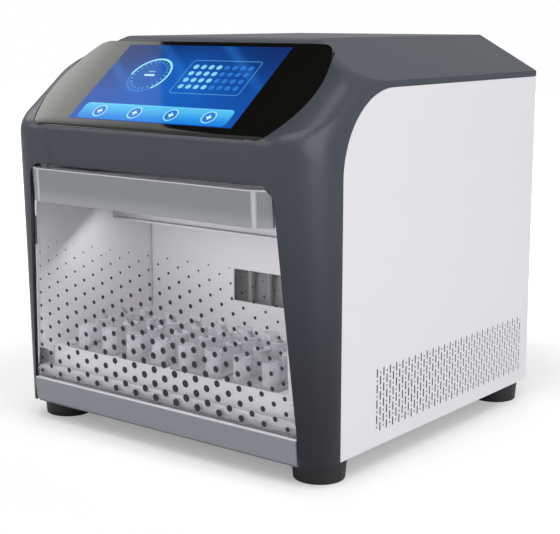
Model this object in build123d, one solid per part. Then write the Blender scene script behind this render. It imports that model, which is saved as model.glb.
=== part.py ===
"""Bench-top nucleic acid extractor with a drop-down door, in millimetres.

X runs left to right, Y from front to back and Z up. The origin is on the table, under the middle
of the machine. Magnetic rods in plastic sleeves are lowered into rows of reagent wells by a head
that travels along the deck on a gantry.
"""
import os
from math import cos, hypot, radians, sin, sqrt, tan

from build123d import *

# ---- Body envelope -------------------------------------------------------------------------------
HALF_WIDTH = 200.0          # outside of the side panels
REAR_Y = 217.5              # back edge of the moulded shell
ROOF_Z = 414.0
ROOF_FLAT_HALF = HALF_WIDTH - 72.0      # the roof is flat this far from the middle, then slopes down
ROOF_EDGE_Z = ROOF_Z - 39.0             # roof height where it meets the side
BODY_BOTTOM_Z = 21.0        # top of the feet
SHELL_WALL = 4.0
SHEET = 2.0                 # folded sheet metal
BASE_Z = BODY_BOTTOM_Z + SHEET          # top of the base tray

# ---- Front face, brow and screen slope -----------------------------------------------------------
SILL_TOP_Z = BODY_BOTTOM_Z + 27.0
FACE_Y = -197.0             # front face at the height of the sill
FACE_LEAN_DEG = 3.285       # forward lean of the face
FACE_LEAN = tan(radians(FACE_LEAN_DEG))
BROW_Z = 326.2
BROW_RADIUS = 12.0
BROW_RADIUS_SIDE = 86.0
SLOPE_DEG = 37.452          # rise of the screen slope
SLOPE_RISE = tan(radians(SLOPE_DEG))
SLOPE_TOP_RADIUS = 30.0
SIDE_FRONT_Y = FACE_Y + 36.0            # where the rounded front corner becomes the flat side
SIDE_BROW_Z = BROW_Z + 4.8
CORNER_START_LOW = HALF_WIDTH - 32.0    # half-width of the flat face at its foot
CORNER_START_HIGH = HALF_WIDTH - 44.0   # and at the brow

# ---- Side panels ---------------------------------------------------------------------------------
PANEL_THICK = 2.0
PANEL_FRONT_Y = SIDE_FRONT_Y + 5.0
PANEL_TOP_Z = ROOF_EDGE_Z - 6.0
PANEL_CORNER_R = 82.0
PANEL_GAP = 0.4
PANEL_LIP = 10.0            # width of the shell lip behind the panel edge

# ---- Base and feet -------------------------------------------------------------------------------
TRAY_FLANGE = 30.0
TRAY_NOSE_HALF = HALF_WIDTH - 24.0      # half-width of the tray ahead of the side panels
TRAY_NOSE_Y = FACE_Y + 5.0
FOOT_R = 27.0
FOOT_X = HALF_WIDTH - 28.0
FOOT_FRONT_Y = PANEL_FRONT_Y + 5.0
FOOT_REAR_Y = REAR_Y - 25.5
FOOT_TAPER = 2.0
FOOT_ROUND = 1.5
FOOT_SCREW_R = 2.5
FOOT_SCREW_HEAD_R = 7.0
FOOT_SCREW_RECESS = 9.0

# ---- Door ----------------------------------------------------------------------------------------
OPENING_HALF = HALF_WIDTH - 22.0        # half-width of the door opening at the sill
OPENING_TAPER = 0.0748      # narrowing of each side per unit of height
OPENING_HEIGHT = 237.0      # above the sill, along the leaning face
OPENING_CORNER_R = 16.0
DOOR_SETBACK = 5.0          # the pane's depth behind the line of the face at the sill
DOOR_GAP = 1.4
DOOR_BOTTOM = 2.6
PANE_THICK = 4.0
HINGE_HEIGHT = 8.0          # pivot above the sill top
HINGE_PIN_R = 2.0
HINGE_PIN_LENGTH = 6.6
HINGE_EAR_R = 3.0
HINGE_EAR_THICK = 3.0
HINGE_RAIL_H = 9.0
HINGE_RAIL_D = 6.0
HINGE_FOOT = 6.0            # depth of the hinge bracket behind the swing of the rail
RUNNING_FIT = 0.05
HANDLE_LOW = 198.5          # bottom of the handle bar above the sill
HANDLE_H = 35.0
HANDLE_HALF = OPENING_HALF - 19.3
HANDLE_FLAT_HALF = HANDLE_HALF - 22.7
HANDLE_DEPTH = 11.5
HANDLE_END_DEPTH = 3.0
HANDLE_GRIP_DEPTH = 9.0
HANDLE_WALL = 2.5
MAGNET_R = 5.0
MAGNET_THICK = 3.0
MAGNET_X = HANDLE_HALF - 10.7
MAGNET_HEIGHT = HANDLE_LOW + 23.5
CATCH_HALF = 7.0
SILL_HALF = OPENING_HALF - 1.0
SILL_DEPTH = 5.5
SILL_LOW_Z = BODY_BOTTOM_Z + 3.0
SILL_RECEDE = 2.3

# ---- Display -------------------------------------------------------------------------------------
SCREEN_SETBACK = 9.27       # depth of the lit area's bottom edge behind the brow
SCREEN_Y = FACE_Y - (BROW_Z - SILL_TOP_Z) * FACE_LEAN + SCREEN_SETBACK
SCREEN_Z = BROW_Z + SCREEN_SETBACK * SLOPE_RISE
SCREEN_HALF = HALF_WIDTH - 92.4
SCREEN_H = 118.0
GLASS_THICK = 2.0
GLASS_LOW = -11.5           # edges of the cover glass along the slope, from the bottom of the lit area
GLASS_HIGH = SCREEN_H + 6.0
GLASS_HALF_LOW = SCREEN_HALF + 42.4
GLASS_HALF_MID = SCREEN_HALF + 62.4
GLASS_HALF_HIGH = SCREEN_HALF + 42.4
GLASS_CORNER = 16.0
GLASS_GAP = 0.3
GLASS_CUT = (-40.0, 20.0)   # depths of the cut through the shell, from below to above the slope
MODULE_BORDER = 4.5
MODULE_THICK = 8.0
BRACKET_BORDER = 8.0

# ---- Work chamber --------------------------------------------------------------------------------
CHAMBER_HALF = HALF_WIDTH - 35.0
CHAMBER_FRONT_Y = FACE_Y + 7.0
CHAMBER_BACK_Y = CHAMBER_FRONT_Y + 169.0
BACK_WALL_TOP_Z = 210.0
BACK_WALL_GAP = 1.6         # open joint between the back wall and each side wall
WALL_TOP_Z = BACK_WALL_TOP_Z + 52.0
WALL_REAR_Y = CHAMBER_BACK_Y + 37.0
WALL_LOW_FRONT_Y = CHAMBER_FRONT_Y + 14.0
WALL_STEP_Z = SILL_TOP_Z + HINGE_HEIGHT + 16.0
JAMB_GAP = 1.0              # between the pane and the jamb behind it
JAMB_OVERLAP = 4.0          # of the jamb behind the shell
DECK_Z = SILL_TOP_Z + 35.0
DECK_THICK = 3.0
DECK_FRONT_Y = CHAMBER_FRONT_Y + 13.0
WINDOW_HALF = 40.0
WINDOW_LOW_Z = DECK_Z + 39.0
WINDOW_HIGH_Z = WINDOW_LOW_Z + 36.0
FIT_GAP = 0.4
BACK_POST_R = 4.0
BACK_POST_PITCH = 26.0
BACK_POST_Y = CHAMBER_BACK_Y + 14.0
BACK_POST_TOP_Z = BACK_WALL_TOP_Z - 10.0
POST_PLATE_HALF = 60.0

# ---- Reagent cartridges and heater -----------------------------------------------------------------
CARTRIDGES = 4
COLUMNS = 2 * CARTRIDGES    # two columns of wells on each cartridge
COLUMN_PITCH = 2 * (CHAMBER_HALF - 21.0) / COLUMNS
ROWS = 4
ROW_PITCH = 31.0
FRONT_ROW_Y = DECK_FRONT_Y + 11.0
CARTRIDGE_GAP = 4.0         # between one cartridge's base and the next
CARTRIDGE_BASE = 3.0
CARTRIDGE_CORNER = 3.0
WEB_THICK = 2.0
WEB_DROP = 4.0              # of the web below the rims
WELL_R = 8.5
WELL_BORE_R = 7.0
WELL_TOP_Z = DECK_Z + 26.0
WELL_FLOOR = 2.0
SEAL_THICK = 1.2
SEALED_ROWS = (1, 2)
HEATER_LOW_Z = DECK_Z - 27.0
HEATER_POST_R = 5.0
HEATER_FINS = 8
HEATER_SLOT = 10.0
HEATER_SLOT_H = 12.0

# ---- Lamps ---------------------------------------------------------------------------------------
LAMP_X = CHAMBER_HALF - 8.0
LAMP_Z = BACK_WALL_TOP_Z - 17.0
LAMP_R = 4.0
LAMP_FRONT_Y = CHAMBER_FRONT_Y + 40.0
LAMP_BACK_Y = CHAMBER_BACK_Y - 29.0
LAMP_HOLDER = 10.0
STRIP_THICK = 3.5
STRIP_Z = WALL_TOP_Z - 22.0
STRIP_H = 8.0

# ---- Gantry --------------------------------------------------------------------------------------
RAIL_X = CHAMBER_HALF + 9.0
RAIL_Z = WALL_TOP_Z + 23.0
RAIL_R = 5.0
RAIL_BRACKET_Y = 8.0        # thickness of a rail bracket
RAIL_BRACKET_HALF = 9.0
RAIL_BRACKET_TOP_Z = RAIL_Z + 10.0
GANTRY_PLATE_X = CHAMBER_HALF - 13.0    # inner face of the gantry's side plates
GANTRY_PLATE = 4.0
GANTRY_LOW_Z = BACK_WALL_TOP_Z + 3.0
GANTRY_BACK_Y = CHAMBER_BACK_Y + 18.0
GANTRY_FRONT_Y = GANTRY_BACK_Y - 87.0
GANTRY_SIDE_TOP_Z = RAIL_Z + 27.0
GANTRY_TOP_Z = 346.0
BEARING_LENGTH = 56.0
BEARING_BELOW = 12.0
COVER_HALF = GANTRY_PLATE_X - 2.0
COVER_LIP = 5.0
LIFT_Y = GANTRY_BACK_Y - 17.0
LIFT_ROD_X = 50.0
LIFT_ROD_R = 4.0
LIFT_SCREW_R = 4.0
BRIDGE_THICK = 4.0
BRIDGE_DEPTH = 26.0
UPPER_BRIDGE_HALF = 80.0
BACK_PLATE_FRAME = 20.0     # width of the back plate left round its two cut-outs
MOTOR_SIDE = 28.0
MOTOR_HEIGHT = 22.0

# ---- Sleeve head and rod head --------------------------------------------------------------------
HEAD_ROW_Y = FRONT_ROW_Y + (ROWS - 1) * ROW_PITCH
HEAD_HALF = GANTRY_PLATE_X - 12.0
SLEEVE_PLATE_Z = BACK_WALL_TOP_Z + 42.0
SLEEVE_PLATE_THICK = 4.0
HEAD_FRONT = 13.0           # plate ahead of the row of sleeves
SLEEVE_R = 4.5
SLEEVE_BORE_R = 3.2
SLEEVE_TIP_Z = BACK_WALL_TOP_Z - 2.0
SLEEVE_TIP_WALL = 1.6
SLEEVE_TIP_ROUND = 2.5
CARRIAGE_HALF = 64.0
CARRIAGE_PLATE = 3.0
CARRIAGE_H = 12.0
CARRIAGE_GAP = 2.0
ROD_PLATE_Z = SLEEVE_PLATE_Z + 48.0
ROD_PLATE_THICK = 5.0
ROD_PLATE_HALF = HEAD_HALF - 4.0
ROD_R = 2.5
ROD_ENTRY = 2.0             # depth of the rod ends in the sleeve plate when withdrawn
POST_X = ROD_PLATE_HALF - 16.0
POST_R = 3.0
ROD_DRIVE_Y = LIFT_Y - 30.0
ROD_SCREW_R = 3.0
SHELF_Z = ROD_PLATE_Z + 16.0
SHELF_THICK = 3.0
SHELF_HALF = 20.0

# ---- Belt drive ----------------------------------------------------------------------------------
BELT_X = -(RAIL_X + 17.0)
BELT_WIDTH = 5.0
BELT_THICK = 1.2
BELT_Z = RAIL_Z + 26.0
PULLEY_R = 7.0              # outside of the belt on the pulley
PULLEY_SIDE = 0.3           # between the belt and a flange
BELT_SEAT = 0.2
CLAMP_LENGTH = 16.0
PULLEY_FLANGE_R = 9.0
PULLEY_FLANGE = 1.0
IDLER_Y = CHAMBER_FRONT_Y + 37.0
DRIVE_Y = WALL_REAR_Y + 26.0
BELT_MOTOR_SIDE = 42.0
BELT_MOTOR_LENGTH = 34.0
SHAFT_R = 2.5

# ---- Rear panel ----------------------------------------------------------------------------------
REAR_INSET = 2.0            # the rear panel stands this far inside the shell's back edge
REAR_OUT_Y = REAR_Y - REAR_INSET
REAR_IN_Y = REAR_OUT_Y - SHEET
FAN_X = -(HALF_WIDTH - 110.0)
FAN_Z = 262.0
FAN_SIDE = 80.0
FAN_DEPTH = 25.0
FAN_BORE_R = 37.5
FAN_HUB_R = 13.0
FAN_BLADES = 7
FAN_BLADE_DEG = 52
GUARD_WIRE = 1.4
GUARD_RINGS = (8.0, 18.0, 28.0, 38.0)
INLET_X = HALF_WIDTH - 60.0
INLET_Z = 62.0
INLET_W, INLET_H = 27.0, 20.0
INLET_FLANGE = 3.0
ROCKER_Z = INLET_Z + 32.0
ROCKER_W, ROCKER_H = 19.0, 13.0
ROCKER_PIVOT_Y = REAR_OUT_Y - 4.0
ROCKER_PIN_R = 1.0
ROCKER_WALL = 1.6
PORT_X, PORT_Z = INLET_X - 60.0, INLET_Z + 4.0
PORT_W, PORT_H = 14.0, 7.0
PORT_PITCH = 22.0
REAR_VENTS = 9
REAR_VENT_PITCH = 8.0
REAR_VENT_W, REAR_VENT_L = 3.0, 70.0
SCREW_HEAD_R = 4.0
SCREW_HEAD_H = 1.8
SCREW_R = 2.0
SCREW_LENGTH = 8.0

# ---- Power supply and circuit board --------------------------------------------------------------
PSU_X0 = -(HALF_WIDTH - 50.0)
PSU_Y0 = REAR_IN_Y - 138.5
PSU_W, PSU_D, PSU_H = 100.0, 120.0, 45.0
PSU_SLOTS = 6
BOARD_X1 = HALF_WIDTH - 30.0
BOARD_Y0 = REAR_IN_Y - 153.5
BOARD_W, BOARD_D = 150.0, 125.0
BOARD_LIFT = 10.0
BOARD_THICK = 1.6


# ---- Small helpers -------------------------------------------------------------------------------
def block(x0, x1, y0, y1, z0, z1):
    """A box between two corners."""
    return Pos((x0 + x1) / 2, (y0 + y1) / 2, (z0 + z1) / 2) * Box(x1 - x0, y1 - y0, z1 - z0)


def rod_z(x, y, z0, z1, radius):
    """An upright round bar."""
    return Pos(x, y, (z0 + z1) / 2) * Cylinder(radius, z1 - z0)


def rod_y(x, z, y0, y1, radius):
    """A round bar along the depth of the machine."""
    return Pos(x, (y0 + y1) / 2, z) * Rot(90, 0, 0) * Cylinder(radius, y1 - y0)


def rod_x(y, z, x0, x1, radius):
    """A round bar across the machine."""
    return Pos((x0 + x1) / 2, y, z) * Rot(0, 90, 0) * Cylinder(radius, x1 - x0)


def mirrored(shape):
    """The same shape on the other side of the machine."""
    return mirror(shape, Plane.YZ)


def group(solids):
    """Separate solids kept together in one node."""
    return Compound(children=list(solids))


def face_y(z):
    """Depth of the leaning front face at a height."""
    return FACE_Y - (z - SILL_TOP_Z) * FACE_LEAN


def outline_prism(points_or_edges, plane, low, high):
    """A closed outline on a plane, extruded between two distances along its normal."""
    face = plane.offset(low) * make_face(points_or_edges)
    return extrude(face, amount=high - low, dir=plane.z_dir)


# ---- Moulded shell -------------------------------------------------------------------------------
def fillet_arc(before, corner, after, radius):
    """Tangent points and middle of a round on one corner of a YZ section."""
    b = Vector(before[0] - corner[0], before[1] - corner[1]).normalized()
    a = Vector(after[0] - corner[0], after[1] - corner[1]).normalized()
    half = radians(b.get_angle(a)) / 2
    reach = radius / tan(half)
    bisector = (a + b).normalized()
    centre = Vector(*corner) + bisector * (radius / sin(half))
    start = Vector(*corner) + b * reach
    middle = centre - bisector * radius
    end = Vector(*corner) + a * reach
    return [(p.X, p.Y) for p in (start, middle, end)]


def body_section(x, inset, rear, bottom):
    """The closed outline of the body at one distance from the middle, as a face."""
    half = HALF_WIDTH - inset

    def fade(start):
        u = min(1.0, max(0.0, (x - start) / (half - start)))
        return 1.0 - sqrt(1.0 - u * u)

    low, high = fade(CORNER_START_LOW), fade(CORNER_START_HIGH)
    face_low = (face_y(bottom) + inset) * (1 - low) + (SIDE_FRONT_Y + inset) * low
    brow_y = face_y(BROW_Z) + inset
    brow_drop = inset * (1 - sin(radians(SLOPE_DEG))) / cos(radians(SLOPE_DEG))
    brow = (brow_y * (1 - high) + (SIDE_FRONT_Y + inset) * high,
            BROW_Z * (1 - high) + SIDE_BROW_Z * high - brow_drop)
    past_flat = max(0.0, x - ROOF_FLAT_HALF) / (HALF_WIDTH - ROOF_FLAT_HALF)
    roof = ROOF_Z - (ROOF_Z - ROOF_EDGE_Z) * past_flat - inset
    slope_top = (brow[0] + (roof - brow[1]) / SLOPE_RISE, roof)
    brow_round = BROW_RADIUS + (BROW_RADIUS_SIDE - BROW_RADIUS) * high - inset
    top_round = SLOPE_TOP_RADIUS + (BROW_RADIUS_SIDE - SLOPE_TOP_RADIUS) * high - inset
    foot, back = (face_low, bottom), (rear, roof)
    a0, a1, a2 = fillet_arc(foot, brow, slope_top, brow_round)
    b0, b1, b2 = fillet_arc(brow, slope_top, back, top_round)

    def at(p):
        return (x, p[0], p[1])

    edges = [
        Line(at(foot), at(a0)), ThreePointArc(at(a0), at(a1), at(a2)),
        Line(at(a2), at(b0)), ThreePointArc(at(b0), at(b1), at(b2)),
        Line(at(b2), at(back)), Line(at(back), at((rear, bottom))),
        Line(at((rear, bottom)), at(foot)),
    ]
    return make_face(edges)


def envelope(inset, rear, bottom):
    """Solid of the whole body, or of the space inside its wall."""
    half = HALF_WIDTH - inset
    turns = [0, 18, 36, 52, 66, 78, 90]
    stations = [ROOF_FLAT_HALF, (ROOF_FLAT_HALF + CORNER_START_HIGH) / 2]
    stations += [CORNER_START_HIGH + (half - CORNER_START_HIGH) * sin(radians(t)) for t in turns]
    side = loft([body_section(x, inset, rear, bottom) for x in stations])
    middle = extrude(body_section(ROOF_FLAT_HALF, inset, rear, bottom),
                     amount=2 * ROOF_FLAT_HALF, dir=(-1, 0, 0))
    return middle + side + mirrored(side)


SIDE_PLANE = Plane(origin=(0, 0, 0), x_dir=(0, 1, 0), z_dir=(1, 0, 0))


def panel_outline(inset, bottom):
    """Outline of a side panel in Y and Z, with its one large round corner."""
    front, top = PANEL_FRONT_Y + inset, PANEL_TOP_Z - inset
    r = PANEL_CORNER_R - inset
    turn = r * (1 - cos(radians(45)))
    return [
        Line((front, bottom), (front, top - r)),
        ThreePointArc((front, top - r), (front + turn, top - turn), (front + r, top)),
        Line((front + r, top), (REAR_Y + 5, top)), Line((REAR_Y + 5, top), (REAR_Y + 5, bottom)),
        Line((REAR_Y + 5, bottom), (front, bottom)),
    ]


DOOR_PLANE = Plane(origin=(0, FACE_Y + DOOR_SETBACK, SILL_TOP_Z), x_dir=(1, 0, 0),
                   z_dir=(0, -cos(radians(FACE_LEAN_DEG)), -sin(radians(FACE_LEAN_DEG))))


def opening_outline(gap, bottom):
    """Outline of the door opening, or of the door inside it by a gap."""
    top = OPENING_HEIGHT - gap
    low_half = OPENING_HALF - OPENING_TAPER * bottom - gap
    high_half = OPENING_HALF - OPENING_TAPER * top - gap
    sketch = make_face(Polyline((-low_half, bottom), (-high_half, top), (high_half, top),
                                (low_half, bottom), close=True))
    corners = sketch.vertices().sort_by(Axis.Y)[-2:]
    return fillet(corners, OPENING_CORNER_R - gap)


SCREEN_PLANE = Plane(origin=(0, SCREEN_Y, SCREEN_Z), x_dir=(1, 0, 0),
                     z_dir=(0, -sin(radians(SLOPE_DEG)), cos(radians(SLOPE_DEG))))


def glass_outline(grow):
    """Outline of the cover glass: straight top and bottom edges and bowed sides."""
    low, high = GLASS_LOW - grow, GLASS_HIGH + grow
    a, m, b = GLASS_HALF_LOW + grow, GLASS_HALF_MID + grow, GLASS_HALF_HIGH + grow
    mid = (low + high) / 2
    right = ThreePointArc((a, low), (m, mid), (b, high))
    left = ThreePointArc((-b, high), (-m, mid), (-a, low))
    face = make_face([Line((-a, low), (a, low)), right, Line((b, high), (-b, high)), left])
    return fillet(face.vertices(), GLASS_CORNER)


def window_block(border, low, high):
    """A block on the screen slope round the lit area, between two depths below the slope."""
    mid = SCREEN_H / 2
    size = Box(2 * (SCREEN_HALF + border), SCREEN_H + 2 * border, high - low)
    return SCREEN_PLANE * Pos(0, mid, (low + high) / 2) * size


def glass_column(grow):
    """Upright column on the slope with the outline of the cover glass."""
    low, high = GLASS_CUT
    face = SCREEN_PLANE.offset(low) * glass_outline(grow)
    return extrude(face, amount=high - low, dir=SCREEN_PLANE.z_dir)


def front_top_shell(outside, inside):
    wall = SHELL_WALL
    shell = outside - envelope(wall, REAR_Y + 20, BODY_BOTTOM_Z - 20)
    rebate = outline_prism(panel_outline(0, BODY_BOTTOM_Z - 5), SIDE_PLANE,
                           HALF_WIDTH - PANEL_THICK, HALF_WIDTH + 5)
    window = outline_prism(panel_outline(PANEL_LIP, BODY_BOTTOM_Z - 5), SIDE_PLANE,
                           HALF_WIDTH - 2 * wall, HALF_WIDTH + 5)
    shell -= rebate + window
    shell -= mirrored(rebate + window)
    opening = opening_outline(0, BODY_BOTTOM_Z - SILL_TOP_Z - 10)
    shell -= extrude(DOOR_PLANE.offset(-30) * opening, amount=60, dir=DOOR_PLANE.z_dir)
    shell -= glass_column(GLASS_GAP) - inside
    shell -= window_block(MODULE_BORDER + FIT_GAP, -20, 5)
    return shell


def side_panel():
    """The right-hand white panel."""
    outline = panel_outline(PANEL_GAP, BODY_BOTTOM_Z)
    plate = outline_prism(outline, SIDE_PLANE, HALF_WIDTH - PANEL_THICK, HALF_WIDTH)
    return plate - block(0, HALF_WIDTH + 5, REAR_Y, REAR_Y + 10, 0, ROOF_Z)


# ---- Rear panel ----------------------------------------------------------------------------------
def rear_screw_places():
    x = HALF_WIDTH - SHELL_WALL - 14
    low, high = BODY_BOTTOM_Z + 16, PANEL_TOP_Z - 26
    return [(s * x, z) for s in (-1, 1) for z in (low, (low + high) / 2, high)]


def rear_panel():
    x = HALF_WIDTH - SHELL_WALL - FIT_GAP
    top = ROOF_Z - SHELL_WALL - FIT_GAP
    edge = ROOF_EDGE_Z - SHELL_WALL
    outline = Polyline((-x, BASE_Z), (-x, edge), (-ROOF_FLAT_HALF, top),
                       (ROOF_FLAT_HALF, top), (x, edge), (x, BASE_Z), close=True)
    rear_plane = Plane(origin=(0, REAR_OUT_Y, 0), x_dir=(1, 0, 0), z_dir=(0, -1, 0))
    plate = extrude(rear_plane * make_face(outline), amount=SHEET, dir=(0, -1, 0))
    plate -= rod_y(FAN_X, FAN_Z, REAR_IN_Y - 1, REAR_OUT_Y + 1, FAN_BORE_R)
    plate -= block(INLET_X - INLET_W / 2, INLET_X + INLET_W / 2, REAR_IN_Y - 1, REAR_OUT_Y + 1,
                   INLET_Z - INLET_H / 2, INLET_Z + INLET_H / 2)
    plate -= block(INLET_X - ROCKER_W / 2, INLET_X + ROCKER_W / 2, REAR_IN_Y - 1, REAR_OUT_Y + 1,
                   ROCKER_Z - ROCKER_H / 2, ROCKER_Z + ROCKER_H / 2)
    for i in (-1, 0):
        px = PORT_X + (i + 0.5) * PORT_PITCH
        plate -= block(px - PORT_W / 2, px + PORT_W / 2, REAR_IN_Y - 1, REAR_OUT_Y + 1,
                       PORT_Z - PORT_H / 2, PORT_Z + PORT_H / 2)
    for i in range(REAR_VENTS):
        vx = -FAN_X + (i - (REAR_VENTS - 1) / 2) * REAR_VENT_PITCH
        plate -= block(vx - REAR_VENT_W / 2, vx + REAR_VENT_W / 2, REAR_IN_Y - 1, REAR_OUT_Y + 1,
                       FAN_Z - REAR_VENT_L / 2, FAN_Z + REAR_VENT_L / 2)
    for sx, sz in rear_screw_places():
        plate -= rod_y(sx, sz, REAR_IN_Y - 1, REAR_OUT_Y + 1, SCREW_R + 0.1)
    return plate


def rear_screws():
    screws = []
    for sx, sz in rear_screw_places():
        head = rod_y(sx, sz, REAR_OUT_Y, REAR_OUT_Y + SCREW_HEAD_H, SCREW_HEAD_R)
        screws.append(head + rod_y(sx, sz, REAR_OUT_Y - SCREW_LENGTH, REAR_OUT_Y, SCREW_R))
    return group(screws)


# ---- Base ----------------------------------------------------------------------------------------
def base_tray():
    """Folded tray that carries the machine, narrower ahead of the side panels."""
    z0, z1 = BODY_BOTTOM_Z, BASE_Z
    front, back = PANEL_FRONT_Y + PANEL_LIP + FIT_GAP, REAR_IN_Y
    side = HALF_WIDTH - PANEL_THICK
    tray = block(-side, side, front, back, z0, z1)
    tray += block(-TRAY_NOSE_HALF, TRAY_NOSE_HALF, TRAY_NOSE_Y, front, z0, z1)
    for s in (-1, 1):
        x = s * (side - SHEET / 2)
        tray += block(x - SHEET / 2, x + SHEET / 2, front, back, z0, z0 + TRAY_FLANGE)
    for fx in (-FOOT_X, FOOT_X):
        for fy in (FOOT_FRONT_Y, FOOT_REAR_Y):
            tray -= rod_z(fx, fy, z0 - 1, z1 + 1, FOOT_SCREW_R)
    return tray


def foot(x, y):
    """Rubber foot with a recess for the screw that holds it."""
    body = Pos(x, y, 0) * Cone(FOOT_R - FOOT_TAPER, FOOT_R, BODY_BOTTOM_Z,
                               align=(Align.CENTER, Align.CENTER, Align.MIN))
    body = fillet(body.edges().group_by(Axis.Z)[0], FOOT_ROUND)
    body -= rod_z(x, y, -1, FOOT_SCREW_RECESS, FOOT_SCREW_HEAD_R)
    return body - rod_z(x, y, 0, BODY_BOTTOM_Z + 1, FOOT_SCREW_R)


def front_sill():
    """Bright metal bar under the door, with its lower front edge drawn back."""
    front = FACE_Y + 1.0
    profile = Polyline((front, SILL_TOP_Z - 1.5), (front + 1.5, SILL_TOP_Z),
                       (front + SILL_DEPTH, SILL_TOP_Z), (front + SILL_DEPTH, BASE_Z),
                       (front + SILL_DEPTH - 3, BASE_Z), (front + SILL_DEPTH - 3, SILL_LOW_Z),
                       (front + SILL_RECEDE, SILL_LOW_Z), close=True)
    face = SIDE_PLANE.offset(-SILL_HALF) * make_face(profile)
    return extrude(face, amount=2 * SILL_HALF, dir=(1, 0, 0))


# ---- Door ----------------------------------------------------------------------------------------
def in_door(shape):
    """Places a shape drawn in the door's own frame: across, up the pane, out of the front."""
    return DOOR_PLANE * shape


def door_pane():
    outline = DOOR_PLANE.offset(-PANE_THICK) * opening_outline(DOOR_GAP, DOOR_BOTTOM)
    return extrude(outline, amount=PANE_THICK, dir=DOOR_PLANE.z_dir)


def door_handle():
    """Full-width bar whose ends bend back to the pane, hollowed from above as a finger grip."""
    e, f, d = HANDLE_HALF, HANDLE_FLAT_HALF, HANDLE_DEPTH
    bend = ((e + f) / 2 + 1.5, (d + HANDLE_END_DEPTH) / 2 + 1.6)
    plan = make_face([
        Line((-e, 0), (-e, HANDLE_END_DEPTH)),
        ThreePointArc((-e, HANDLE_END_DEPTH), (-bend[0], bend[1]), (-f, d)),
        Line((-f, d), (f, d)), ThreePointArc((f, d), bend, (e, HANDLE_END_DEPTH)),
        Line((e, HANDLE_END_DEPTH), (e, 0)), Line((e, 0), (-e, 0)),
    ])
    level = Plane(origin=(0, HANDLE_LOW, 0), x_dir=(1, 0, 0), z_dir=(0, -1, 0))
    bar = extrude(level * plan, amount=HANDLE_H, dir=(0, 1, 0))
    grip_half = HANDLE_FLAT_HALF - 4
    grip_depth = d - 2 * HANDLE_WALL
    top = HANDLE_LOW + HANDLE_H
    grip = Pos(0, top - HANDLE_GRIP_DEPTH / 2 + 1, HANDLE_WALL + grip_depth / 2) * Box(
        2 * grip_half, HANDLE_GRIP_DEPTH + 2, grip_depth)
    frame = extrude(opening_outline(DOOR_GAP, HANDLE_LOW), amount=2 * d, dir=(0, 0, 1))
    return in_door((bar - grip) & frame)


def hinge_rail_half():
    """Half-length of the rail at the foot of the door."""
    return OPENING_HALF - OPENING_TAPER * HINGE_HEIGHT - DOOR_GAP - 3


HINGE_PLACE = Pos(0, HINGE_HEIGHT, -PANE_THICK - HINGE_RAIL_D / 2)


def door_rail():
    """Metal rail behind the foot of the pane, with a pivot pin at each end."""
    half = hinge_rail_half()
    pins = Rot(0, 90, 0) * Cylinder(HINGE_PIN_R, 2 * (half + HINGE_PIN_LENGTH))
    return in_door(HINGE_PLACE * (Box(2 * half, HINGE_RAIL_H, HINGE_RAIL_D) + pins))


def hinge_bracket():
    """Ear beside the right-hand edge of the door, on an angle from the chamber wall."""
    x1 = hinge_rail_half() + HINGE_PIN_LENGTH + 0.2
    x0 = x1 - HINGE_EAR_THICK
    pivot = (DOOR_PLANE.location * HINGE_PLACE).position
    y, z = pivot.Y, pivot.Z
    swing = hypot(HINGE_RAIL_H, HINGE_RAIL_D) / 2 + 1.0
    ear = rod_x(y, z, x0, x1, HINGE_EAR_R)
    back = y + swing + HINGE_FOOT
    ear += block(x0, x1, y - HINGE_EAR_R, back, z - 14, z)
    ear += block(x0, x1, y, back, z - 14, z + HINGE_EAR_R)
    ear += block(CHAMBER_HALF + SHEET, x1, y + swing, back, BASE_Z, z + HINGE_EAR_R)
    return ear - rod_x(y, z, x0 - 1, x1 + 1, HINGE_PIN_R + RUNNING_FIT)


def door_magnets():
    """Disc magnets behind the handle that hold the door shut against the front rail brackets."""
    return group(in_door(Pos(s * MAGNET_X, MAGNET_HEIGHT, -PANE_THICK - MAGNET_THICK / 2)
                         * Cylinder(MAGNET_R, MAGNET_THICK)) for s in (-1, 1))


# ---- Display -------------------------------------------------------------------------------------
def display_glass(outside, inside):
    """Cover glass that follows the curve of the shell and lies flush in it."""
    return (outside & glass_column(0)) - inside


def display_module():
    return window_block(MODULE_BORDER, -GLASS_THICK - MODULE_THICK, -GLASS_THICK)


def display_bracket():
    """Shallow tray under the shell that holds the display module up against the glass."""
    back = -GLASS_THICK - MODULE_THICK
    tray = window_block(MODULE_BORDER + BRACKET_BORDER, back - SHEET, -SHELL_WALL)
    tray -= window_block(MODULE_BORDER + FIT_GAP, back, 0)
    return tray & envelope(SHELL_WALL + GLASS_GAP, REAR_Y, BODY_BOTTOM_Z)


# ---- Chamber -------------------------------------------------------------------------------------
def jamb():
    """Leaning flange behind the right-hand edge of the pane, from the hinge step to the wall's top."""
    low, high = WALL_STEP_Z + 8 - SILL_TOP_Z, WALL_TOP_Z - SILL_TOP_Z
    x = CHAMBER_HALF

    def edge(up):
        return max(x + SHEET, OPENING_HALF - OPENING_TAPER * up + JAMB_OVERLAP)

    outline = Polyline((x, low), (x, high), (edge(high), high), (edge(low), low), close=True)
    face = DOOR_PLANE.offset(-PANE_THICK - JAMB_GAP - SHEET) * make_face(outline)
    return extrude(face, amount=SHEET, dir=DOOR_PLANE.z_dir)


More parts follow.
